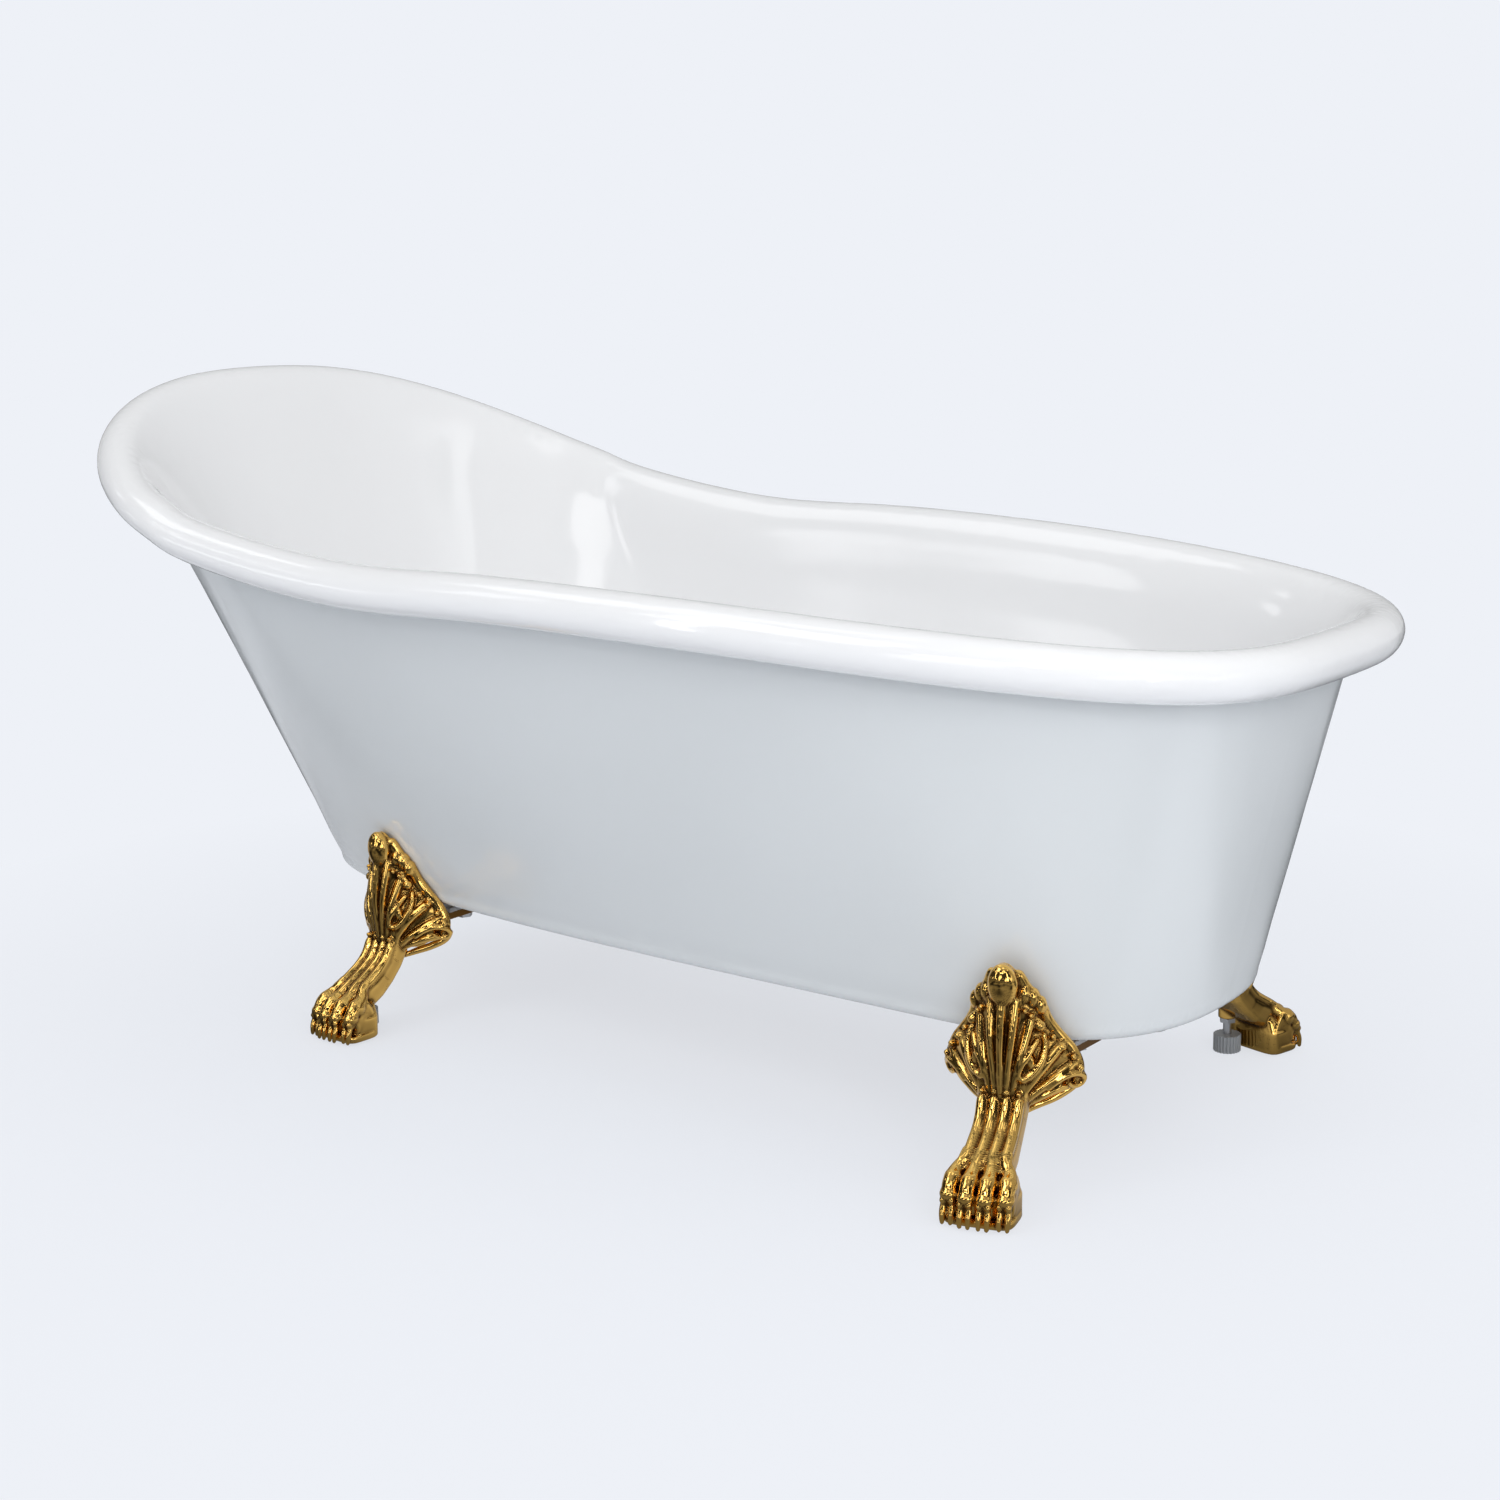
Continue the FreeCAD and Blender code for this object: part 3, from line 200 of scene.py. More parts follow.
def acrylic(name, tint, roughness):
    """Glossy sheet acrylic: faint cloudiness in the colour and a slow wave in the gloss."""
    f = Finish(name, Specular_IOR_Level=0.5, IOR=1.49, Coat_Weight=0.35, Coat_Roughness=0.05)
    cloud = f.noise(3.0, detail=3.0)
    f.set("Base Color", f.mix(cloud, rgba(tint, 0.975), rgba(tint, 1.02)))
    f.set("Roughness", f.span(f.noise(14.0, detail=4.0), 0.3, 0.7, roughness * 0.8, roughness * 1.3))
    f.bump(f.noise(9.0, detail=1.0), strength=0.05, distance=0.004)
    return f


def gold(tint, painted_shade_tint):
    """Polished casting with painted shade: the gold tint in the open, and in its hollows a dark painted-shade colour
    with a duller gloss.
    """
    f = Finish("polished gold", Metallic=1.0)
    depth = f.node("ShaderNodeAttribute", {"attribute_name": PAINTED_SHADE_ATTRIBUTE}, out="Fac")
    # Share clear of the painted crease shade: 0 in the hollows, where the base colour is painted shade, 1 in the open.
    clear_of_painted_shade = f.span(depth, 0.19, 0.31)
    patch = f.noise(60.0, detail=3.0)
    f.set("Base Color", f.mix(clear_of_painted_shade, rgba(painted_shade_tint), f.mix(patch, rgba(tint, 0.92), rgba(tint, 1.05))))
    f.set("Roughness", f.span(clear_of_painted_shade, 0.0, 1.0, 0.17, 0.05) + f.span(patch, 0.3, 0.7, 0.0, 0.02))
    f.bump(f.noise(22.0, detail=1.0), strength=0.05, distance=0.001)
    return f


def plain_metal(name, tint, roughness, rough_wave=0.08):
    """Bare or plated metal with a fine grain."""
    f = Finish(name, Metallic=1.0)
    wave = f.noise(40.0, detail=4.0)
    f.set("Base Color", f.mix(wave, rgba(tint, 0.88), rgba(tint, 1.04)))
    f.set("Roughness", f.span(wave, 0.3, 0.7, roughness, roughness + rough_wave))
    f.bump(f.noise(900.0, detail=1.0), strength=0.06, distance=0.0003)
    return f


def moulded(name, tint, roughness):
    """Moulded plastic, rubber or paint with a fine skin."""
    f = Finish(name, Specular_IOR_Level=0.45)
    wave = f.noise(25.0, detail=4.0)
    f.set("Base Color", f.mix(wave, rgba(tint, 0.9), rgba(tint, 1.06)))
    f.set("Roughness", f.span(wave, 0.3, 0.7, roughness, roughness + 0.12))
    f.bump(f.noise(700.0, detail=2.0), strength=0.25, distance=0.0004)
    return f


def timber(tint):
    """Sealed board with its grain along the tub."""
    f = Finish("sealed board", Specular_IOR_Level=0.3)
    stretched = f.node("ShaderNodeMapping", inputs={"Vector": f.place(), "Scale": (1.0, 14.0, 14.0)})
    grain = f.noise(9.0, detail=6.0, rough=0.6, where=stretched)
    f.set("Base Color", f.node("ShaderNodeValToRGB", {"stops": [
        (0.3, [c * 0.6 for c in tint]), (0.55, list(tint)), (0.75, [min(1.0, c * 1.3) for c in tint])]}, {0: grain}))
    f.set("Roughness", f.span(grain, 0.3, 0.7, 0.45, 0.62))
    f.bump(grain, strength=0.2, distance=0.001)
    return f


# ---- modelling helpers ----------------------------------------------------------------------------------------------
def clear_selection():
    if bpy.context.mode != "OBJECT":
        bpy.ops.object.mode_set(mode="OBJECT")
    bpy.ops.object.select_all(action="DESELECT")


def take(*objects):
    clear_selection()
    for o in objects:
        o.select_set(True)
    bpy.context.view_layer.objects.active = objects[0]


def settle(piece):
    """Moves a piece's place into its mesh."""
    take(piece)
    bpy.ops.object.transform_apply(location=True, rotation=True, scale=True)


def applied(piece, kind, **settings):
    """Puts a modifier of this kind on a piece and applies it."""
    take(piece)
    modifier = piece.modifiers.new(kind.lower(), kind)
    for key, value in settings.items():
        setattr(modifier, key, value)
    bpy.ops.object.modifier_apply(modifier=modifier.name)


def cut(piece, tool):
    """Takes a tool's shape out of a piece, and the tool out of the scene."""
    applied(piece, "BOOLEAN", operation="DIFFERENCE", object=tool, solver="EXACT")
    bpy.data.objects.remove(tool)


def joined(pieces, name):
    take(*pieces)
    bpy.ops.object.join()
    whole = bpy.context.object
    whole.name = whole.data.name = name
    return whole


def edit(piece):
    """Opens a piece in edit mode with all of it selected."""
    take(piece)
    bpy.ops.object.mode_set(mode="EDIT")
    bpy.ops.mesh.select_all(action="SELECT")


def done():
    bpy.ops.object.mode_set(mode="OBJECT")


def face_outwards(piece):
    edit(piece)
    bpy.ops.mesh.normals_make_consistent(inside=False)
    done()


def give_painted_shade(piece, openness):
    """Adds the attribute that the gold reads for its painted shade: near 0 in a hollow, painted dark, up to 1 in the
    open.
    """
    take(piece)
    bpy.ops.geometry.color_attribute_add(name=PAINTED_SHADE_ATTRIBUTE, domain="POINT", data_type="FLOAT_COLOR",
                                         color=(openness, openness, openness, 1))


def strokes(name, lines):
    """Tapered round strokes: each line is a list of three or more (point, radius)."""
    clear_selection()
    bpy.ops.curve.primitive_nurbs_path_add()
    curve = bpy.context.object
    curve.name = name
    data = curve.data
    data.splines.clear()
    data.dimensions = "3D"
    data.bevel_depth = 1.0
    data.bevel_resolution = 3
    data.use_fill_caps = True
    data.resolution_u = 6
    for line in lines:
        spline = data.splines.new("NURBS")
        spline.points.add(len(line) - 1)
        for point, (place, radius) in zip(spline.points, line):
            point.co = (*place, 1.0)
            point.radius = radius
        spline.order_u = 3
        spline.use_endpoint_u = True
    bpy.ops.object.convert(target="MESH")
    return bpy.context.object


# How far past a stroke's end its rounding reaches and how thick it is there, as shares of the stroke's radius.
ROUNDING = ((0.75, 0.72), (1.0, 0.1))


def end_cap(end, before, radius):
    ahead = (end - before).normalized()
    return [(end + ahead * radius * reach, radius * share) for reach, share in ROUNDING]


def rounded(line):
    """The same line with both ends rounded off."""
    (start, start_radius), (second, _) = line[:2]
    (last_but_one, _), (end, end_radius) = line[-2:]
    return end_cap(start, second, start_radius)[::-1] + line + end_cap(end, last_but_one, end_radius)


def ball(place, size, turn=(0, 0, 0)):
    """Ellipsoid of these half sizes."""
    clear_selection()
    bpy.ops.mesh.primitive_uv_sphere_add(segments=24, ring_count=16, radius=1.0, location=place, rotation=turn)
    piece = bpy.context.object
    piece.scale = size
    settle(piece)
    return piece


SWEEP_SIDES = 32


def sweep(name, sections, boxiness):
    """Closed body through boxy ovals, each (y, z, half width, half depth, tip in degrees)."""
    clear_selection()
    bpy.ops.mesh.primitive_circle_add(vertices=SWEEP_SIDES, radius=1.0)
    body = bpy.context.object
    edit(body)
    bpy.ops.mesh.edge_face_add()
    bpy.ops.mesh.select_all(action="SELECT")
    for _ in sections[1:]:
        bpy.ops.mesh.extrude_region_move(TRANSFORM_OT_translate={"value": (0, 0, 1)})
    done()
    for vertex in body.data.vertices:
        y, z, half_width, half_depth, tip = sections[round(vertex.co.z)]
        angle = math.atan2(vertex.co.y, vertex.co.x)
        c, s = math.cos(angle), math.sin(angle)
        scale = (abs(c) ** boxiness + abs(s) ** boxiness) ** (-1 / boxiness)
        across, deep = half_width * c * scale, half_depth * s * scale
        t = math.radians(tip)
        vertex.co = (across, y + deep * math.cos(t), z + deep * math.sin(t))
    face_outwards(body)
    body.name = name
    return body


# ---- leaf of a leg --------------------------------------------------------------------------------------------------
# A leg is shaped in millimetres, facing -Y: u across, y negative outwards, z up from the floor. The middle of its leaf
# is bowed and stands away from the wall, which the leaf's edge follows.

# (height, value) corners: how far out the leaf's middle stands, how far out its edge stands, and its half width.
BOW = [(90, 47), (105, 49), (150, 51), (180, 50), (205, 48), (225, 45), (243, 39)]
EDGE = [(90, 22), (105, 4), (120, -2), (147, 5), (243, 38)]
HALF_WIDTH = [(90, 26), (98, 42), (112, 63), (127, 70), (145, 63), (160, 51), (173, 42), (182, 38), (192, 38),
              (201, 32), (208, 23), (221, 19), (236, 11), (243, 3)]
BOW_POWER, BOW_REACH = 1.7, 1.15

SKIRT_BOTTOM, SKIRT_PLACE, SKIRT_LEAN = 147.0, 3.0, 0.38
WALL_BELOW_SKIRT = 8.0


def along(table, z):
    """Value at height z on a line of (height, value) corners."""
    for (z0, v0), (z1, v1) in zip(table, table[1:]):
        if z <= z1:
            break
    return v0 + (v1 - v0) * max(0.0, min(1.0, (z - z0) / (z1 - z0)))


def wall_face(z):
    """Place of the skirt behind the leaf, and of the line that goes on a little below it."""
    return SKIRT_PLACE - SKIRT_LEAN * max(-WALL_BELOW_SKIRT, z - SKIRT_BOTTOM)


def bowed(u, z):
    """How far out the leaf's sheet stands at this place."""
    share = min(BOW_REACH, abs(u) / along(HALF_WIDTH, z))
    middle, edge = along(BOW, z), along(EDGE, z)
    return middle - (middle - edge) * share ** BOW_POWER


def leaf_point(u, z, lift):
    """A point lifted square off the bowed sheet."""
    slope = bowed(u + 0.5, z) - bowed(u - 0.5, z)
    square = math.hypot(slope, 1.0)
    return Vector((u - slope * lift / square, -bowed(u, z) - lift / square, z))


SHEET_ROWS, SHEET_COLUMNS = 34, 25
SHEET_BOTTOM, SHEET_HEIGHT = 97.0, 137.0
SHEET_INSET, SHEET_LIFT, SHEET_THICKNESS = 3.5, -3.0, 6.5


def leaf_sheet():
    """Bowed sheet of the whole leaf, which the flutes stand on, out to its border at the wall."""
    clear_selection()
    bpy.ops.mesh.primitive_grid_add(x_subdivisions=SHEET_COLUMNS - 1, y_subdivisions=SHEET_ROWS - 1, size=2.0)
    sheet = bpy.context.object
    for vertex in sheet.data.vertices:
        z = SHEET_BOTTOM + (vertex.co.y + 1) / 2 * SHEET_HEIGHT
        vertex.co = leaf_point(vertex.co.x * (along(HALF_WIDTH, z) - SHEET_INSET), z, SHEET_LIFT)
    applied(sheet, "SOLIDIFY", thickness=SHEET_THICKNESS, offset=0.0)
    face_outwards(sheet)
    return sheet


# Tip (u, z, radius) and root (u, z, radius) of each flute of the fan, from the middle outwards.
FLUTES = [
    ((0, 206, 4.8), (0, 104, 2.8)),
    ((13.5, 202, 5.0), (4.8, 104, 2.8)),
    ((27, 187, 5.4), (9.6, 103, 2.9)),
    ((52, 153, 6.0), (16.5, 101, 3.2)),
    ((64, 133, 6.2), (20, 98, 3.3)),
    ((56, 110, 5.6), (22, 95, 3.2)),
]
FLUTE_SWELL, FLUTE_DIP = 3.0, 2.0


def flute_line(tip, root, side, rise, proud):
    """Flute from root to tip, highest off the sheet halfway and bent upwards by its rise."""
    (u1, z1, r1), (u0, z0, r0) = tip, root
    line = []
    for t in (0.0, 0.25, 0.5, 0.75, 1.0):
        arch = math.sin(math.pi * t)
        u, z = u0 + (u1 - u0) * t, z0 + (z1 - z0) * t + rise * arch
        line.append((leaf_point(u * side, z, proud + FLUTE_SWELL * arch - FLUTE_DIP * t), r0 + (r1 - r0) * t))
    return rounded(line)


HOOD_LEAN = math.atan(0.1)
HOOD_HEIGHT, HOOD_LIFT, HOOD_SIZE = 217, -3, (15.5, 12.0, 23.0)
HOOD_RIM = ((-18.5, 201), (-16, 214), (-11.5, 228), (-4.5, 236), (4.5, 236), (11.5, 228), (16, 214), (18.5, 201))
HOOD_RIM_LIFT, HOOD_RIM_RADIUS = -2, 3.4
LOBES = ((20, 207, 8.0), (27, 203, 8.6), (33.5, 195, 8.2))
LOBE_LIFT, LOBE_SHAPE = -0.5, (0.78, 1.0, 1.2)
LOBE_BEADS = ((20, 193), (24.6, 187.5), (29.2, 182))
LOBE_BEAD_LIFT, LOBE_BEAD_RADIUS = 4.0, 2.8


def hood_and_lobes():
    """Smooth hood at the leaf's top in a raised rim, and a lobe of three humps over beads on each side of it."""
    pieces = [ball(leaf_point(0, HOOD_HEIGHT, HOOD_LIFT), HOOD_SIZE, (HOOD_LEAN, 0, 0))]
    lines = [rounded([(leaf_point(u, z, HOOD_RIM_LIFT), HOOD_RIM_RADIUS) for u, z in HOOD_RIM])]
    for side in (-1, 1):
        for u, z, r in LOBES:
            size = [r * share for share in LOBE_SHAPE]
            pieces.append(ball(leaf_point(u * side, z, LOBE_LIFT), size, (HOOD_LEAN, 0, 0)))
        for u, z in LOBE_BEADS:
            pieces.append(ball(leaf_point(u * side, z, LOBE_BEAD_LIFT), (LOBE_BEAD_RADIUS,) * 3))
    return pieces, lines


# Scrolls of one side of the leaf, as points (u, z, lift off the sheet, radius).
TEARDROP = ((36, 166, 2, 2.6), (38, 155, 3, 3.2), (36, 142, 4, 3.4), (29, 129, 4, 3.4), (20, 123, 3.5, 3.2),
            (15.5, 127, 3.5, 3.0), (18, 137, 4, 3.0), (25, 150, 3.5, 3.0), (31, 162, 2.5, 2.8))
CURL = ((40, 112, 5, 2.4), (50, 122, 6, 3.2), (61, 126, 6, 3.6), (68, 119, 5, 3.4), (64, 110, 6, 3.0),
        (57, 109, 7, 2.6), (55, 115, 7, 2.2))
HEM = ((21, 84, -4, 3.2), (29, 89, -2, 4.6), (43, 95, -1, 5.0), (57, 103, -1, 4.8), (67, 114, -1, 4.4))

BORDER_HEIGHTS = (226, 214, 204, 194, 182, 170, 158, 147, 136, 125, 114)
BORDER_INSET, BORDER_FROM_WALL, BORDER_RADIUS = 3, 7.0, 6.5
BORDER_BEADS = ((31, 176, 5.6), (42, 163, 3.2), (51, 152, 3.4), (60, 141, 3.4), (66, 129, 3.4))
BORDER_BEAD_LIFT = 4.5
DROP_PLACE, DROP_SIZE = (27, 141, 1.5), (4.2, 4.2, 7.5)


def wing_scrolls(side):
    """Teardrop loop round a drop, curled wing, hem and border with its beads, on one side."""
    lines = [rounded([(leaf_point(side * u, z, lift), r) for u, z, lift, r in scroll])
             for scroll in (TEARDROP, CURL, HEM)]
    lines.append(rounded([
        (Vector((side * (along(HALF_WIDTH, z) - BORDER_INSET), wall_face(z) - BORDER_FROM_WALL, z)), BORDER_RADIUS)
        for z in BORDER_HEIGHTS]))
    u, z, lift = DROP_PLACE
    pieces = [ball(leaf_point(side * u, z, lift), DROP_SIZE)]
    for u, z, r in BORDER_BEADS:
        pieces.append(ball(leaf_point(side * u, z, BORDER_BEAD_LIFT), (r, r, r)))
    return pieces, lines


def leaf_ornament():
    """Fan of flutes on the bowed sheet, with everything that is cast on it."""
    pieces, lines = hood_and_lobes()
    pieces.append(leaf_sheet())
    lines.append(flute_line(*FLUTES[0], side=1, rise=0.0, proud=0.8))
    for tip, root in FLUTES[1:]:
        for side in (-1, 1):
            lines.append(flute_line(tip, root, side, rise=3.0, proud=0.4))
    for side in (-1, 1):
        scrolls, scroll_lines = wing_scrolls(side)
        pieces += scrolls
        lines += scroll_lines
    pieces.append(strokes("leaf strokes", lines))
    return pieces


# ---- shank and paw of a leg -----------------------------------------------------------------------------------------
# Sections of the shank, the instep, the sole and the heel: (y, z, half width, half depth, tip in degrees).
SHANK = [
    (-24, 150, 32, 20, 0), (-29, 126, 31, 18, -4), (-33, 110, 27, 16, -12), (-37.5, 96, 25, 15, -22),
    (-46, 80, 24, 14.5, -35), (-59, 66, 24, 15, -47), (-74, 55, 25, 16, -56), (-90, 46, 25, 16, -65),
    (-104, 38, 26, 15, -74),
]
INSTEP = [(-90, 8, 34, 7, -80), (-92, 32, 34, 10, -80), (-98, 38, 34, 16, -82), (-111, 26, 35.5, 16, -90),
          (-119, 20, 35.5, 11, -90)]
SOLE = [(-107, 0.2, 34, 22, 0), (-107, 3, 36.5, 24, 0), (-107, 9, 36.5, 23, 0)]
HEEL = [(-103, 2, 35.5, 19.5, 0), (-101.5, 26, 35.5, 19, 0), (-98, 40, 30, 15, 0), (-95, 47, 24, 11, 0)]

FLUTE_SHARES = (-0.76, -0.26, 0.26, 0.76)
FLUTE_TOP, FLUTE_FOOT, FLUTE_RADIUS, FLUTE_SEAT = 3, 7, 5.8, 0.86
BEAD_LIFT, BEAD_STEP, BEAD_RADIUS = 4, (0, 2, 7.5), 2.8
TUFT_SHARES = (-0.98, -0.5, 0.0, 0.5, 0.98)
TUFT_LIFT, TUFT = 1, (((0, 6, 5), 1.6), ((0, 0, 0), 2.6), ((0, -5, -2), 2.4))

TOES = 4
TOE_TIP = -144.0
OUTER_TOE_SETBACK = 10
PAW_HALF_WIDTH = 38.0
# Points by a toe's tip: (share of the place across, distance behind the tip, height, radius or half sizes).
TOE_BACK = ((0.93, 34, 48, 7.6), (1.0, 20, 42, 8.8), (1.0, 13, 31, 8.2), (1.0, 12, 22, 6.5))
TOE_BALLS = ((0.97, 24, 41, (9.7, 11.0, 11.0)), (1.0, 13, 30.5, (9.5, 9.6, 7.0)))
CLAW_BAR = ((1.0, 8.5, 21, 3.2), (1.0, 5.2, 13, 3.6), (0.92, 4.0, 3.6, 2.8))
CLAW_BAR_PLACES = (-4.5, 4.5)
CUTICLE_BEHIND, CUTICLE_HEIGHT, CUTICLE_SIZE = 7.0, 25, (3.5, 3.8, 3.2)

STEM_PLACE = (-18.0, -64.0)
STEM_BOSS = {"radius": 11.0, "low": 40.0, "high": 62.0}
STEM_HOLE = {"radius": 5.3, "low": 39.0, "high": 68.0}
# Smoothing passes over the painted crease shade.
PAINTED_SHADE_SMOOTHING = 8


def shank_front(section, share, lift=0.0):
    """Point on the shank's front at a section, share -1 to 1 across."""
    y, z, half_width, half_depth, tip = SHANK[section]
    t = math.radians(tip)
    deep = -half_depth * FLUTE_SEAT - lift
    return Vector((half_width * share, y + deep * math.cos(t), z + deep * math.sin(t)))


def toe_places():
    """Middle and tip of each toe; the outer ones stand back."""
    for i in range(TOES):
        u = PAW_HALF_WIDTH * (2 * i + 1 - TOES) / TOES
        yield u, TOE_TIP + abs(u) / PAW_HALF_WIDTH * OUTER_TOE_SETBACK


def shank_body():
    """Boxy core with flat sides and four round flutes that run on into the toes, with beads and tufts at their ends."""
    pieces = [sweep("shank core", SHANK, boxiness=4.5)]
    lines = []
    for share, (u, tip) in zip(FLUTE_SHARES, toe_places()):
        line = [(shank_front(section, share), FLUTE_RADIUS) for section in range(FLUTE_TOP, FLUTE_FOOT + 1)]
        line += [(Vector((u * across, tip + behind, z)), r) for across, behind, z, r in TOE_BACK]
        lines.append(rounded(line))
        pieces.append(ball(shank_front(FLUTE_TOP, share, BEAD_LIFT) + Vector(BEAD_STEP), (BEAD_RADIUS,) * 3))
    for share in TUFT_SHARES:
        root = shank_front(FLUTE_FOOT, share, TUFT_LIFT)
        lines.append(rounded([(root + Vector(step), r) for step, r in TUFT]))
    pieces.append(strokes("shank strokes", lines))
    return pieces


def toe(u, tip):
    """Knuckle, joint, two cuticle bumps and a claw of two long bars."""
    pieces = [ball((u * across, tip + behind, z), size) for across, behind, z, size in TOE_BALLS]
    lines = []
    for place in CLAW_BAR_PLACES:
        pieces.append(ball((u + place, tip + CUTICLE_BEHIND, CUTICLE_HEIGHT), CUTICLE_SIZE))
        lines.append(rounded([(Vector((u + place * across, tip + behind, z)), r)
                              for across, behind, z, r in CLAW_BAR]))
    return pieces, lines


def paw_body():
    """Flat sided paw on a thin sole."""
    pieces = [sweep("instep", INSTEP, boxiness=5.0), sweep("sole", SOLE, boxiness=5.0),
              sweep("heel", HEEL, boxiness=6.0)]
    lines = []
    for u, tip in toe_places():
        toes, claws = toe(u, tip)
        pieces += toes
        lines += claws
    pieces.append(strokes("claws", lines))
    return pieces


def drum(radius, low, high):
    """Upright cylinder on the levelling stem's axis."""
    clear_selection()
    bpy.ops.mesh.primitive_cylinder_add(vertices=48, radius=radius, depth=high - low,
                                        location=(*STEM_PLACE, (low + high) / 2))
    piece = bpy.context.object
    settle(piece)
    return piece


def leg_casting(grain):
    """One leg, in metres and in its own frame, without its tongue."""
    whole = joined(leaf_ornament() + shank_body() + paw_body() + [drum(**STEM_BOSS)], "leg casting")
    hole = drum(**STEM_HOLE)
    for piece in (whole, hole):
        piece.scale = (MM, MM, MM)
        settle(piece)
    applied(whole, "REMESH", mode="VOXEL", voxel_size=grain, adaptivity=0.0)
    applied(whole, "SMOOTH", factor=0.5, iterations=9)
    for vertex in whole.data.vertices:
        vertex.co.z = max(vertex.co.z, 0.0)
    cut(whole, hole)
    give_painted_shade(whole, 1)
    # Dirty vertex colours mark the creases, where the gold paints shade; the passes after it smooth that painted shade.
    bpy.ops.object.mode_set(mode="VERTEX_PAINT")
    bpy.ops.paint.vertex_color_dirt(blur_strength=1.0, blur_iterations=4, clean_angle=math.pi * 0.62,
                                    dirt_angle=math.pi * 0.28, dirt_only=False, normalize=True)
    for _ in range(PAINTED_SHADE_SMOOTHING):
        bpy.ops.paint.vertex_color_smooth()
    done()
    bpy.ops.object.shade_smooth()
    return whole


# ---- legs on the tub ------------------------------------------------------------------------------------------------
# Place along the tub, turn in degrees and the outer bolt's place across the tub, of each pair of legs.
LEG_ENDS = {"head": (-0.350, -3.0, -0.0802), "foot": (0.540, 15.0, -0.1091)}
LEG_SETBACK = 0.003

# The tongue's middle lies this far inside the skirt's bottom edge and at this height.
TONGUE_INSET, TONGUE_HEIGHT, TONGUE_SIZE = 0.058, 0.116, (0.040, 0.156, 0.010)
# The tongue lies in the tub's shade; its low openness paints it nearly all in the gold's shade colour.
TONGUE_PAINTED_SHADE_OPENNESS = 0.2
BOLT_SPACING, BOLT_HOLE_RADIUS = 0.032, 0.0055


def body_half_width(x):
    """Half width of the skirt at its bottom edge."""
    head, foot, middle, half = -0.585, 0.671, 0.480, 0.203
    reach, power = (foot - middle, 2.45) if x > middle else (middle - head, 3.2)
    return half * (1 - abs((x - middle) / reach) ** power) ** (1 / power)


def tongue(x, outer_bolt):
    """Flat bar from the leg's root to under the frame, square to the tub, with two bolt holes."""
    clear_selection()
    bpy.ops.mesh.primitive_cube_add(size=1.0, location=(x, TONGUE_INSET - body_half_width(x), TONGUE_HEIGHT),
                                    scale=TONGUE_SIZE)
    bar = bpy.context.object
    settle(bar)
    applied(bar, "BEVEL", width=0.0012, segments=2)
    for y in (outer_bolt, outer_bolt + BOLT_SPACING):
        clear_selection()
        bpy.ops.mesh.primitive_cylinder_add(vertices=40, radius=BOLT_HOLE_RADIUS, depth=0.03,
                                            location=(x, y, TONGUE_HEIGHT))
        cut(bar, bpy.context.object)
    give_painted_shade(bar, TONGUE_PAINTED_SHADE_OPENNESS)
    return bar


# ---- operators ------------------------------------------------------------------------------------------------------
def dress(piece, material):
    piece.data.materials.clear()
    piece.data.materials.append(material)


class BATHTUB_OT_claw_legs(bpy.types.Operator):
    """Four gilded claw legs, cast alike and set at the frame's four corners"""
    bl_idname = "bathtub.claw_legs"
    bl_label = "Claw legs"

    def execute(self, context):
        tints, sizes = context.scene.tub_colours, context.scene.tub_sizes
        pattern = leg_casting(sizes.casting_grain)
        skin = finish_of("gold_brass", lambda: gold(tints.gold, tints.gold_painted_shade))
        for end, (x, turn, outer_bolt) in LEG_ENDS.items():
            for side in ("near", "far"):
                take(pattern)
                bpy.ops.object.duplicate()
                leg = bpy.context.object
                leg.name = leg.data.name = f"claw_leg_{end}_{side}"
                place = Matrix.Translation((x, -body_half_width(x) - LEG_SETBACK, 0))
                leg.matrix_world = place @ Matrix.Rotation(math.radians(turn), 4, "Z")
                settle(leg)
                leg = joined([leg, tongue(x, outer_bolt)], leg.name)
                if side == "far":
                    leg.scale = (1, -1, 1)
                    settle(leg)
                    face_outwards(leg)
                dress(leg, skin)
                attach(leg, "tub")
                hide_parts(f"leg_{end}_{side}")
        bpy.data.objects.remove(pattern)
        return {"FINISHED"}


class BATHTUB_OT_shell_finishes(bpy.types.Operator):
    """Glossy acrylic on the basin and the outer skirt"""
    bl_idname = "bathtub.shell_finishes"
    bl_label = "Basin and skirt"

    def execute(self, context):
        tints = context.scene.tub_colours
        # The skirt's darker tint is partly painted shade on its upright sides.
        for node, name, tint, rough in (("basin_shell", "white acrylic", tints.basin, 0.10),
                                        ("outer_skirt", "pale grey acrylic with painted shade", tints.skirt, 0.16)):
            dress(frame["nodes"][node], finish_of(name, lambda: acrylic(name, tint, rough)))
        return {"FINISHED"}


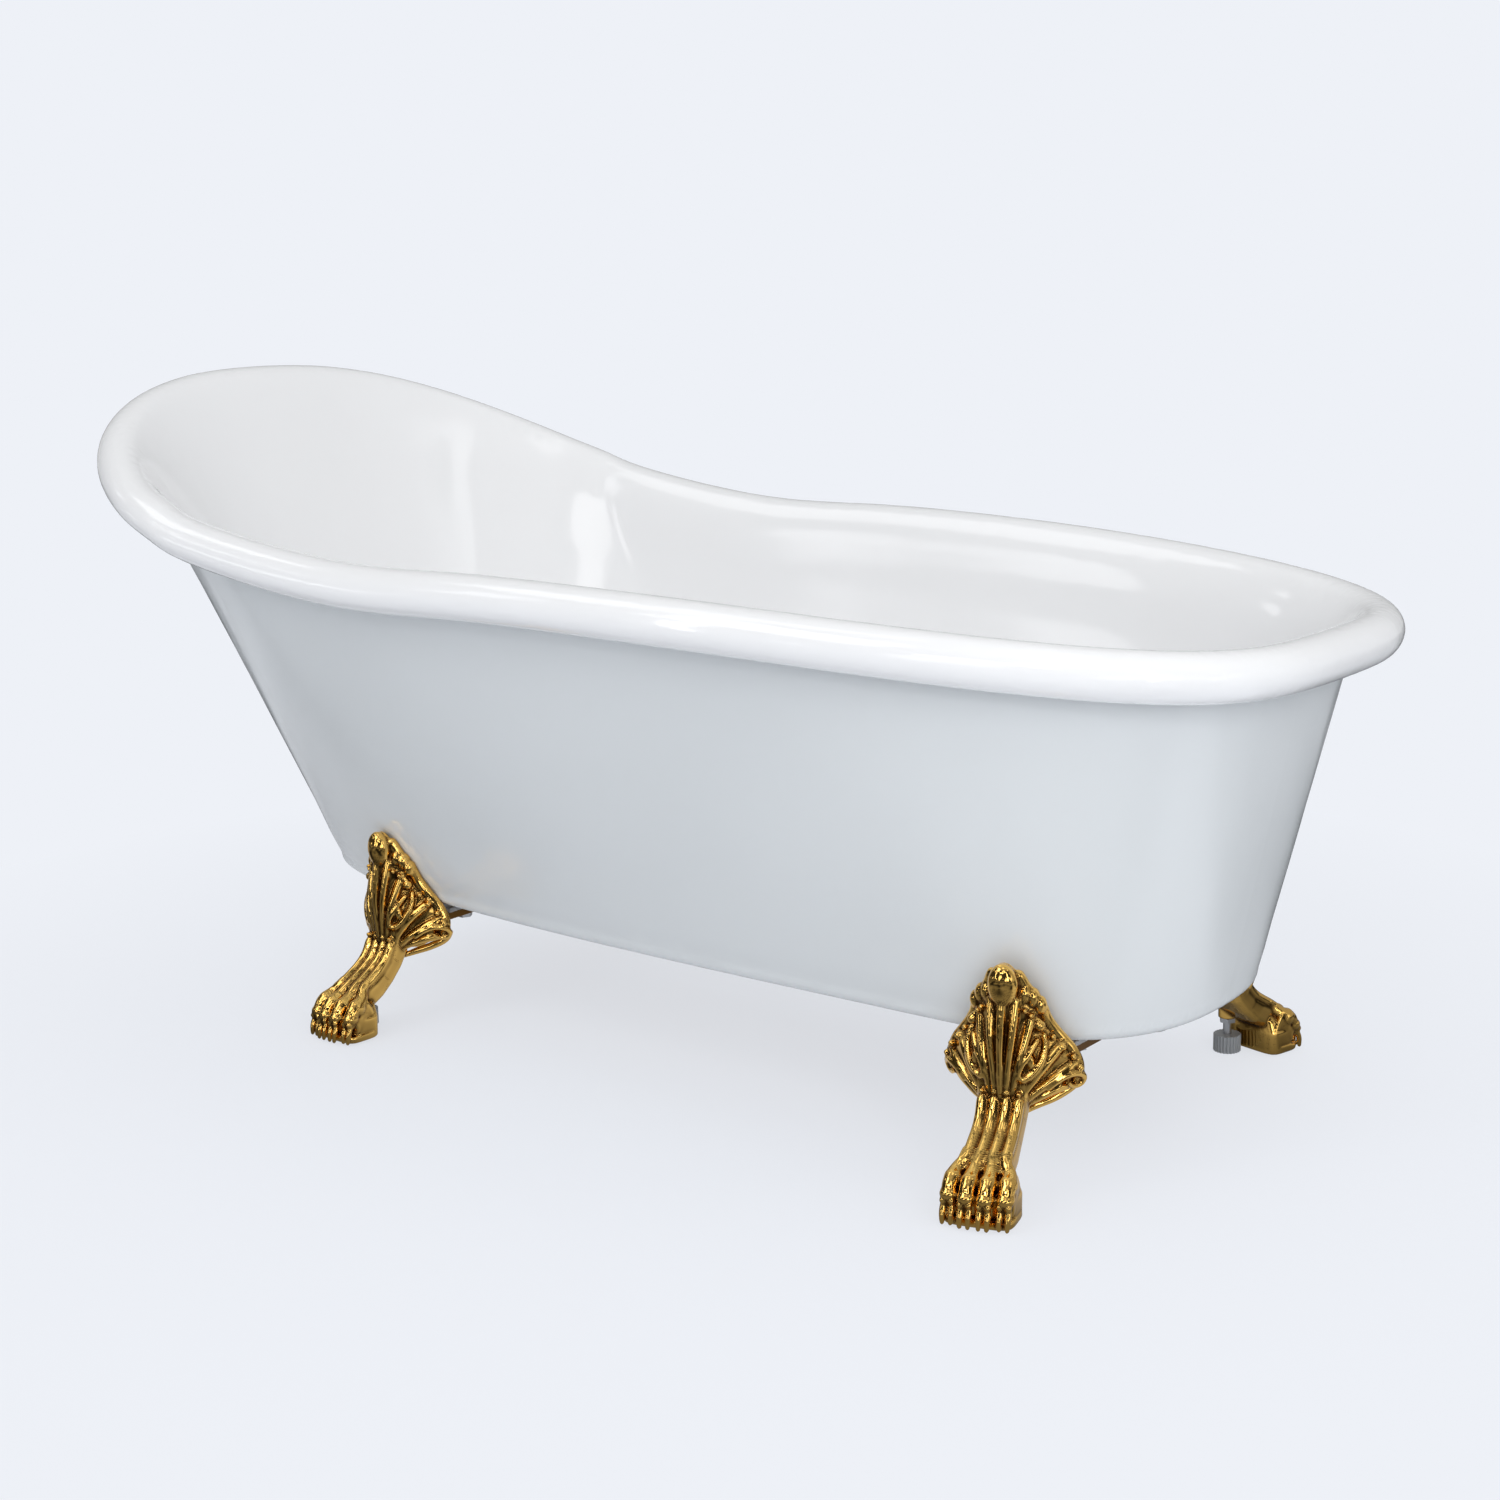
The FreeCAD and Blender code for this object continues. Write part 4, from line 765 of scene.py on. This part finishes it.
class BATHTUB_OT_fitting_finishes(bpy.types.Operator):
    """Metal, timber, plastic and rubber on the frame, the fixings, the waste and the overflow"""
    bl_idname = "bathtub.fitting_finishes"
    bl_label = "Frame and fittings"

    def execute(self, context):
        tints = context.scene.tub_colours
        made = {
            "board": lambda: timber(tints.board),
            "frame_paint": lambda: moulded("satin frame paint", (0.48, 0.49, 0.50), 0.35),
            "zinc_steel": lambda: plain_metal("zinc plate", (0.60, 0.61, 0.63), 0.28),
            "chrome": lambda: plain_metal("polished chrome", (0.80, 0.81, 0.82), 0.05, rough_wave=0.03),
            "brass_fitting": lambda: plain_metal("turned brass", (0.72, 0.52, 0.24), 0.2),
            "grey_plastic": lambda: moulded("grey moulding", (0.10, 0.105, 0.115), 0.45),
            "pad_plastic": lambda: moulded("ribbed pad plastic", tints.pad, 0.42),
            "rubber": lambda: moulded("black rubber", (0.02, 0.02, 0.02), 0.65),
            "gold_brass": lambda: gold(tints.gold, tints.gold_painted_shade),
        }
        for part in frame["record"]["subparts"]:
            slot_name = part["material_slot"]
            if slot_name in made:
                dress(frame["nodes"][part["node"]], finish_of(slot_name, made[slot_name]))
        return {"FINISHED"}


class BATHTUB_OT_studio(bpy.types.Operator):
    """Pale floor, soft lamps and the camera at the photographed angle"""
    bl_idname = "bathtub.studio"
    bl_label = "Studio"

    def execute(self, context):
        stage_floor(context.scene.tub_colours.backdrop)
        lamps()
        photograph_camera()
        surroundings(context.scene.tub_colours)
        return {"FINISHED"}


# ---- studio ---------------------------------------------------------------------------------------------------------
FLOOR_RADIUS, FLOOR_HEIGHT = 9.0, -0.0005


def stage_floor(tint):
    """Floor in the backdrop's colour that keeps the tub's shadow, and that polished metal sees as a darker, uneven
    painted glow.
    """
    clear_selection()
    bpy.ops.mesh.primitive_circle_add(vertices=96, radius=FLOOR_RADIUS, fill_type="NGON",
                                      location=(0, 0, FLOOR_HEIGHT))
    floor = bpy.context.object
    floor.name = "studio_floor"
    settle(floor)
    f = Finish("studio floor", Roughness=0.9, Specular_IOR_Level=0.0)
    f.set("Base Color", rgba(tint, 0.93))
    glow = f.node("ShaderNodeEmission", inputs={"Color": rgba(tint), "Strength": 1.0})
    across = f.node("ShaderNodeSeparateXYZ", inputs={0: f.place()}, out="Y")
    # Mirror rays see a painted glow instead of the lit floor: brighter in a band along under the tub and in soft
    # patches.
    under_tub = f.span(across * across, 0.03, 0.09, 0.42, 0.0)
    patches = f.span(f.noise(1.6, detail=1.0), 0.40, 0.60, 0.02, 0.26)
    mirrored_floor_glow = f.node("ShaderNodeEmission", inputs={"Color": rgba(tint), "Strength": under_tub + patches})
    away = f.node("ShaderNodeVectorMath", {"operation": "LENGTH"}, {0: f.place()}, out="Value")
    seen = f.blend(f.ray_is("Camera") * f.span(away, 0.5, 1.4, 0.74, 1.0), Wire(f, f.shader.outputs[0]), glow)
    f.feed(f.tree.nodes["Material Output"].inputs["Surface"], f.blend(f.ray_is("Glossy"), seen, mirrored_floor_glow))
    floor.data.materials.append(f.material)


def lamp(name, place, aim, size, watts, mirrored=True):
    clear_selection()
    bpy.ops.object.light_add(type="AREA", location=place)
    light = bpy.context.object
    light.name = name
    light.rotation_euler = (Vector(aim) - Vector(place)).to_track_quat("-Z", "Y").to_euler()
    light.data.shape = "RECTANGLE"
    light.data.size, light.data.size_y = size
    light.data.energy = watts
    light.visible_glossy = mirrored


def lamps():
    lamp("softbox over the head", (-0.7, -2.6, 2.8), (0, 0, 0.35), (1.5, 1.5), 17)
    lamp("softbox at the right", (2.7, -1.9, 1.6), (0.4, 0, 0.3), (1.3, 1.3), 20, mirrored=False)
    lamp("softbox over the foot", (2.8, 0.4, 2.6), (0.2, 0, 0.3), (1.6, 2.2), 13, mirrored=False)
    lamp("tall strip at the right", (2.6, -1.6, 1.1), (0.4, 0, 0.3), (0.14, 1.8), 5)
    lamp("tall strip at the left", (-0.9, -2.6, 1.0), (0.1, 0, 0.2), (0.12, 1.6), 4)
    lamp("low strip beside the camera", (1.0, -2.7, 1.7), (0.3, 0, 0.2), (1.3, 0.10), 4)
    lamp("overhead sheet", (0.2, 0.4, 3.6), (0, 0, 0.3), (3.2, 2.0), 7, mirrored=False)


EVEN_LIGHT = 0.73
SCREEN_DARK, SCREEN_BRIGHT, SCREEN_BEHIND, SCREEN_OVERHEAD = 0.05, 2.0, 0.45, 0.55


def surroundings(tints):
    """Even light; the camera sees the plain backdrop, and glossy surfaces see bright and dark screens."""
    world = bpy.data.worlds.new("studio surroundings")
    bpy.context.scene.world = world
    world.use_nodes = True
    n = Nodes(world.node_tree)
    direction = n.node("ShaderNodeTexCoord", out="Generated")
    height = n.node("ShaderNodeSeparateXYZ", inputs={0: direction}, out="Z")
    behind = n.span(n.node("ShaderNodeSeparateXYZ", inputs={0: direction}, out="Y"), -0.1, 0.3)
    screens = n.span(n.noise(3.4, detail=1.0, where=direction), 0.575, 0.60, SCREEN_DARK, SCREEN_BRIGHT)
    sides = screens + (SCREEN_BEHIND - screens) * behind
    mirrored = n.maths("MAXIMUM", sides, n.span(height, 0.6, 0.9, 0.0, SCREEN_OVERHEAD))
    even, backdrop, mirror = (n.node("ShaderNodeBackground", inputs={"Color": rgba(tint), "Strength": strength})
                              for tint, strength in ((tints.daylight, EVEN_LIGHT), (tints.backdrop, 1.0),
                                                     (tints.daylight, mirrored)))
    n.feed(n.tree.nodes["World Output"].inputs["Surface"],
           n.blend(n.ray_is("Camera"), n.blend(n.ray_is("Glossy"), even, mirror), backdrop))


CAMERA_TARGET = Vector((0.193, 0.002, 0.365))
CAMERA_AZIMUTH, CAMERA_ELEVATION, CAMERA_ROLL = math.radians(36.0), math.radians(12.157), math.radians(-0.617)
CAMERA_DISTANCE = 2.633
CAMERA_SENSOR = 36.0
CAMERA_LENS = 55.93
CAMERA_SHIFT = (-0.0667, 0.0)


def photograph_camera():
    clear_selection()
    bpy.ops.object.camera_add()
    camera = bpy.context.object
    a, e, r = CAMERA_AZIMUTH, CAMERA_ELEVATION, CAMERA_ROLL
    back = Vector((math.sin(a) * math.cos(e), -math.cos(a) * math.cos(e), math.sin(e)))
    right = (-back).cross(Vector((0, 0, 1))).normalized()
    up = right.cross(-back)
    right, up = right * math.cos(r) + up * math.sin(r), up * math.cos(r) - right * math.sin(r)
    turn = Matrix((right, up, back)).transposed().to_4x4()
    camera.matrix_world = Matrix.Translation(CAMERA_TARGET + back * CAMERA_DISTANCE) @ turn
    camera.data.sensor_width = CAMERA_SENSOR
    camera.data.lens = CAMERA_LENS
    camera.data.shift_x, camera.data.shift_y = CAMERA_SHIFT
    bpy.context.scene.camera = camera
    bpy.context.scene.view_settings.view_transform = "Standard"


# ---- panel and run --------------------------------------------------------------------------------------------------
class BATHTUB_PT_panel(bpy.types.Panel):
    """Builds the bathtub's looks piece by piece"""
    bl_idname = "BATHTUB_PT_panel"
    bl_label = "Clawfoot bathtub"
    bl_space_type = "VIEW_3D"
    bl_region_type = "UI"
    bl_category = "Bathtub"

    def draw(self, context):
        for group in (context.scene.tub_colours, context.scene.tub_sizes):
            for key in group.bl_rna.properties.keys():
                if key not in ("rna_type", "name"):
                    self.layout.prop(group, key)
        for step in STEPS:
            self.layout.operator(step.bl_idname)


STEPS = (BATHTUB_OT_shell_finishes, BATHTUB_OT_fitting_finishes, BATHTUB_OT_claw_legs, BATHTUB_OT_studio)
CLASSES = (TubColours, TubSizes) + STEPS + (BATHTUB_PT_panel,)


def register():
    for cls in CLASSES:
        bpy.utils.register_class(cls)
    bpy.types.Scene.tub_colours = bpy.props.PointerProperty(type=TubColours)
    bpy.types.Scene.tub_sizes = bpy.props.PointerProperty(type=TubSizes)


def unregister():
    del bpy.types.Scene.tub_colours
    del bpy.types.Scene.tub_sizes
    for cls in reversed(CLASSES):
        bpy.utils.unregister_class(cls)


def main():
    register()
    bpy.ops.bathtub.shell_finishes()
    bpy.ops.bathtub.fitting_finishes()
    bpy.ops.bathtub.claw_legs()
    bpy.ops.bathtub.studio()


if __name__ == "__main__":
    main()
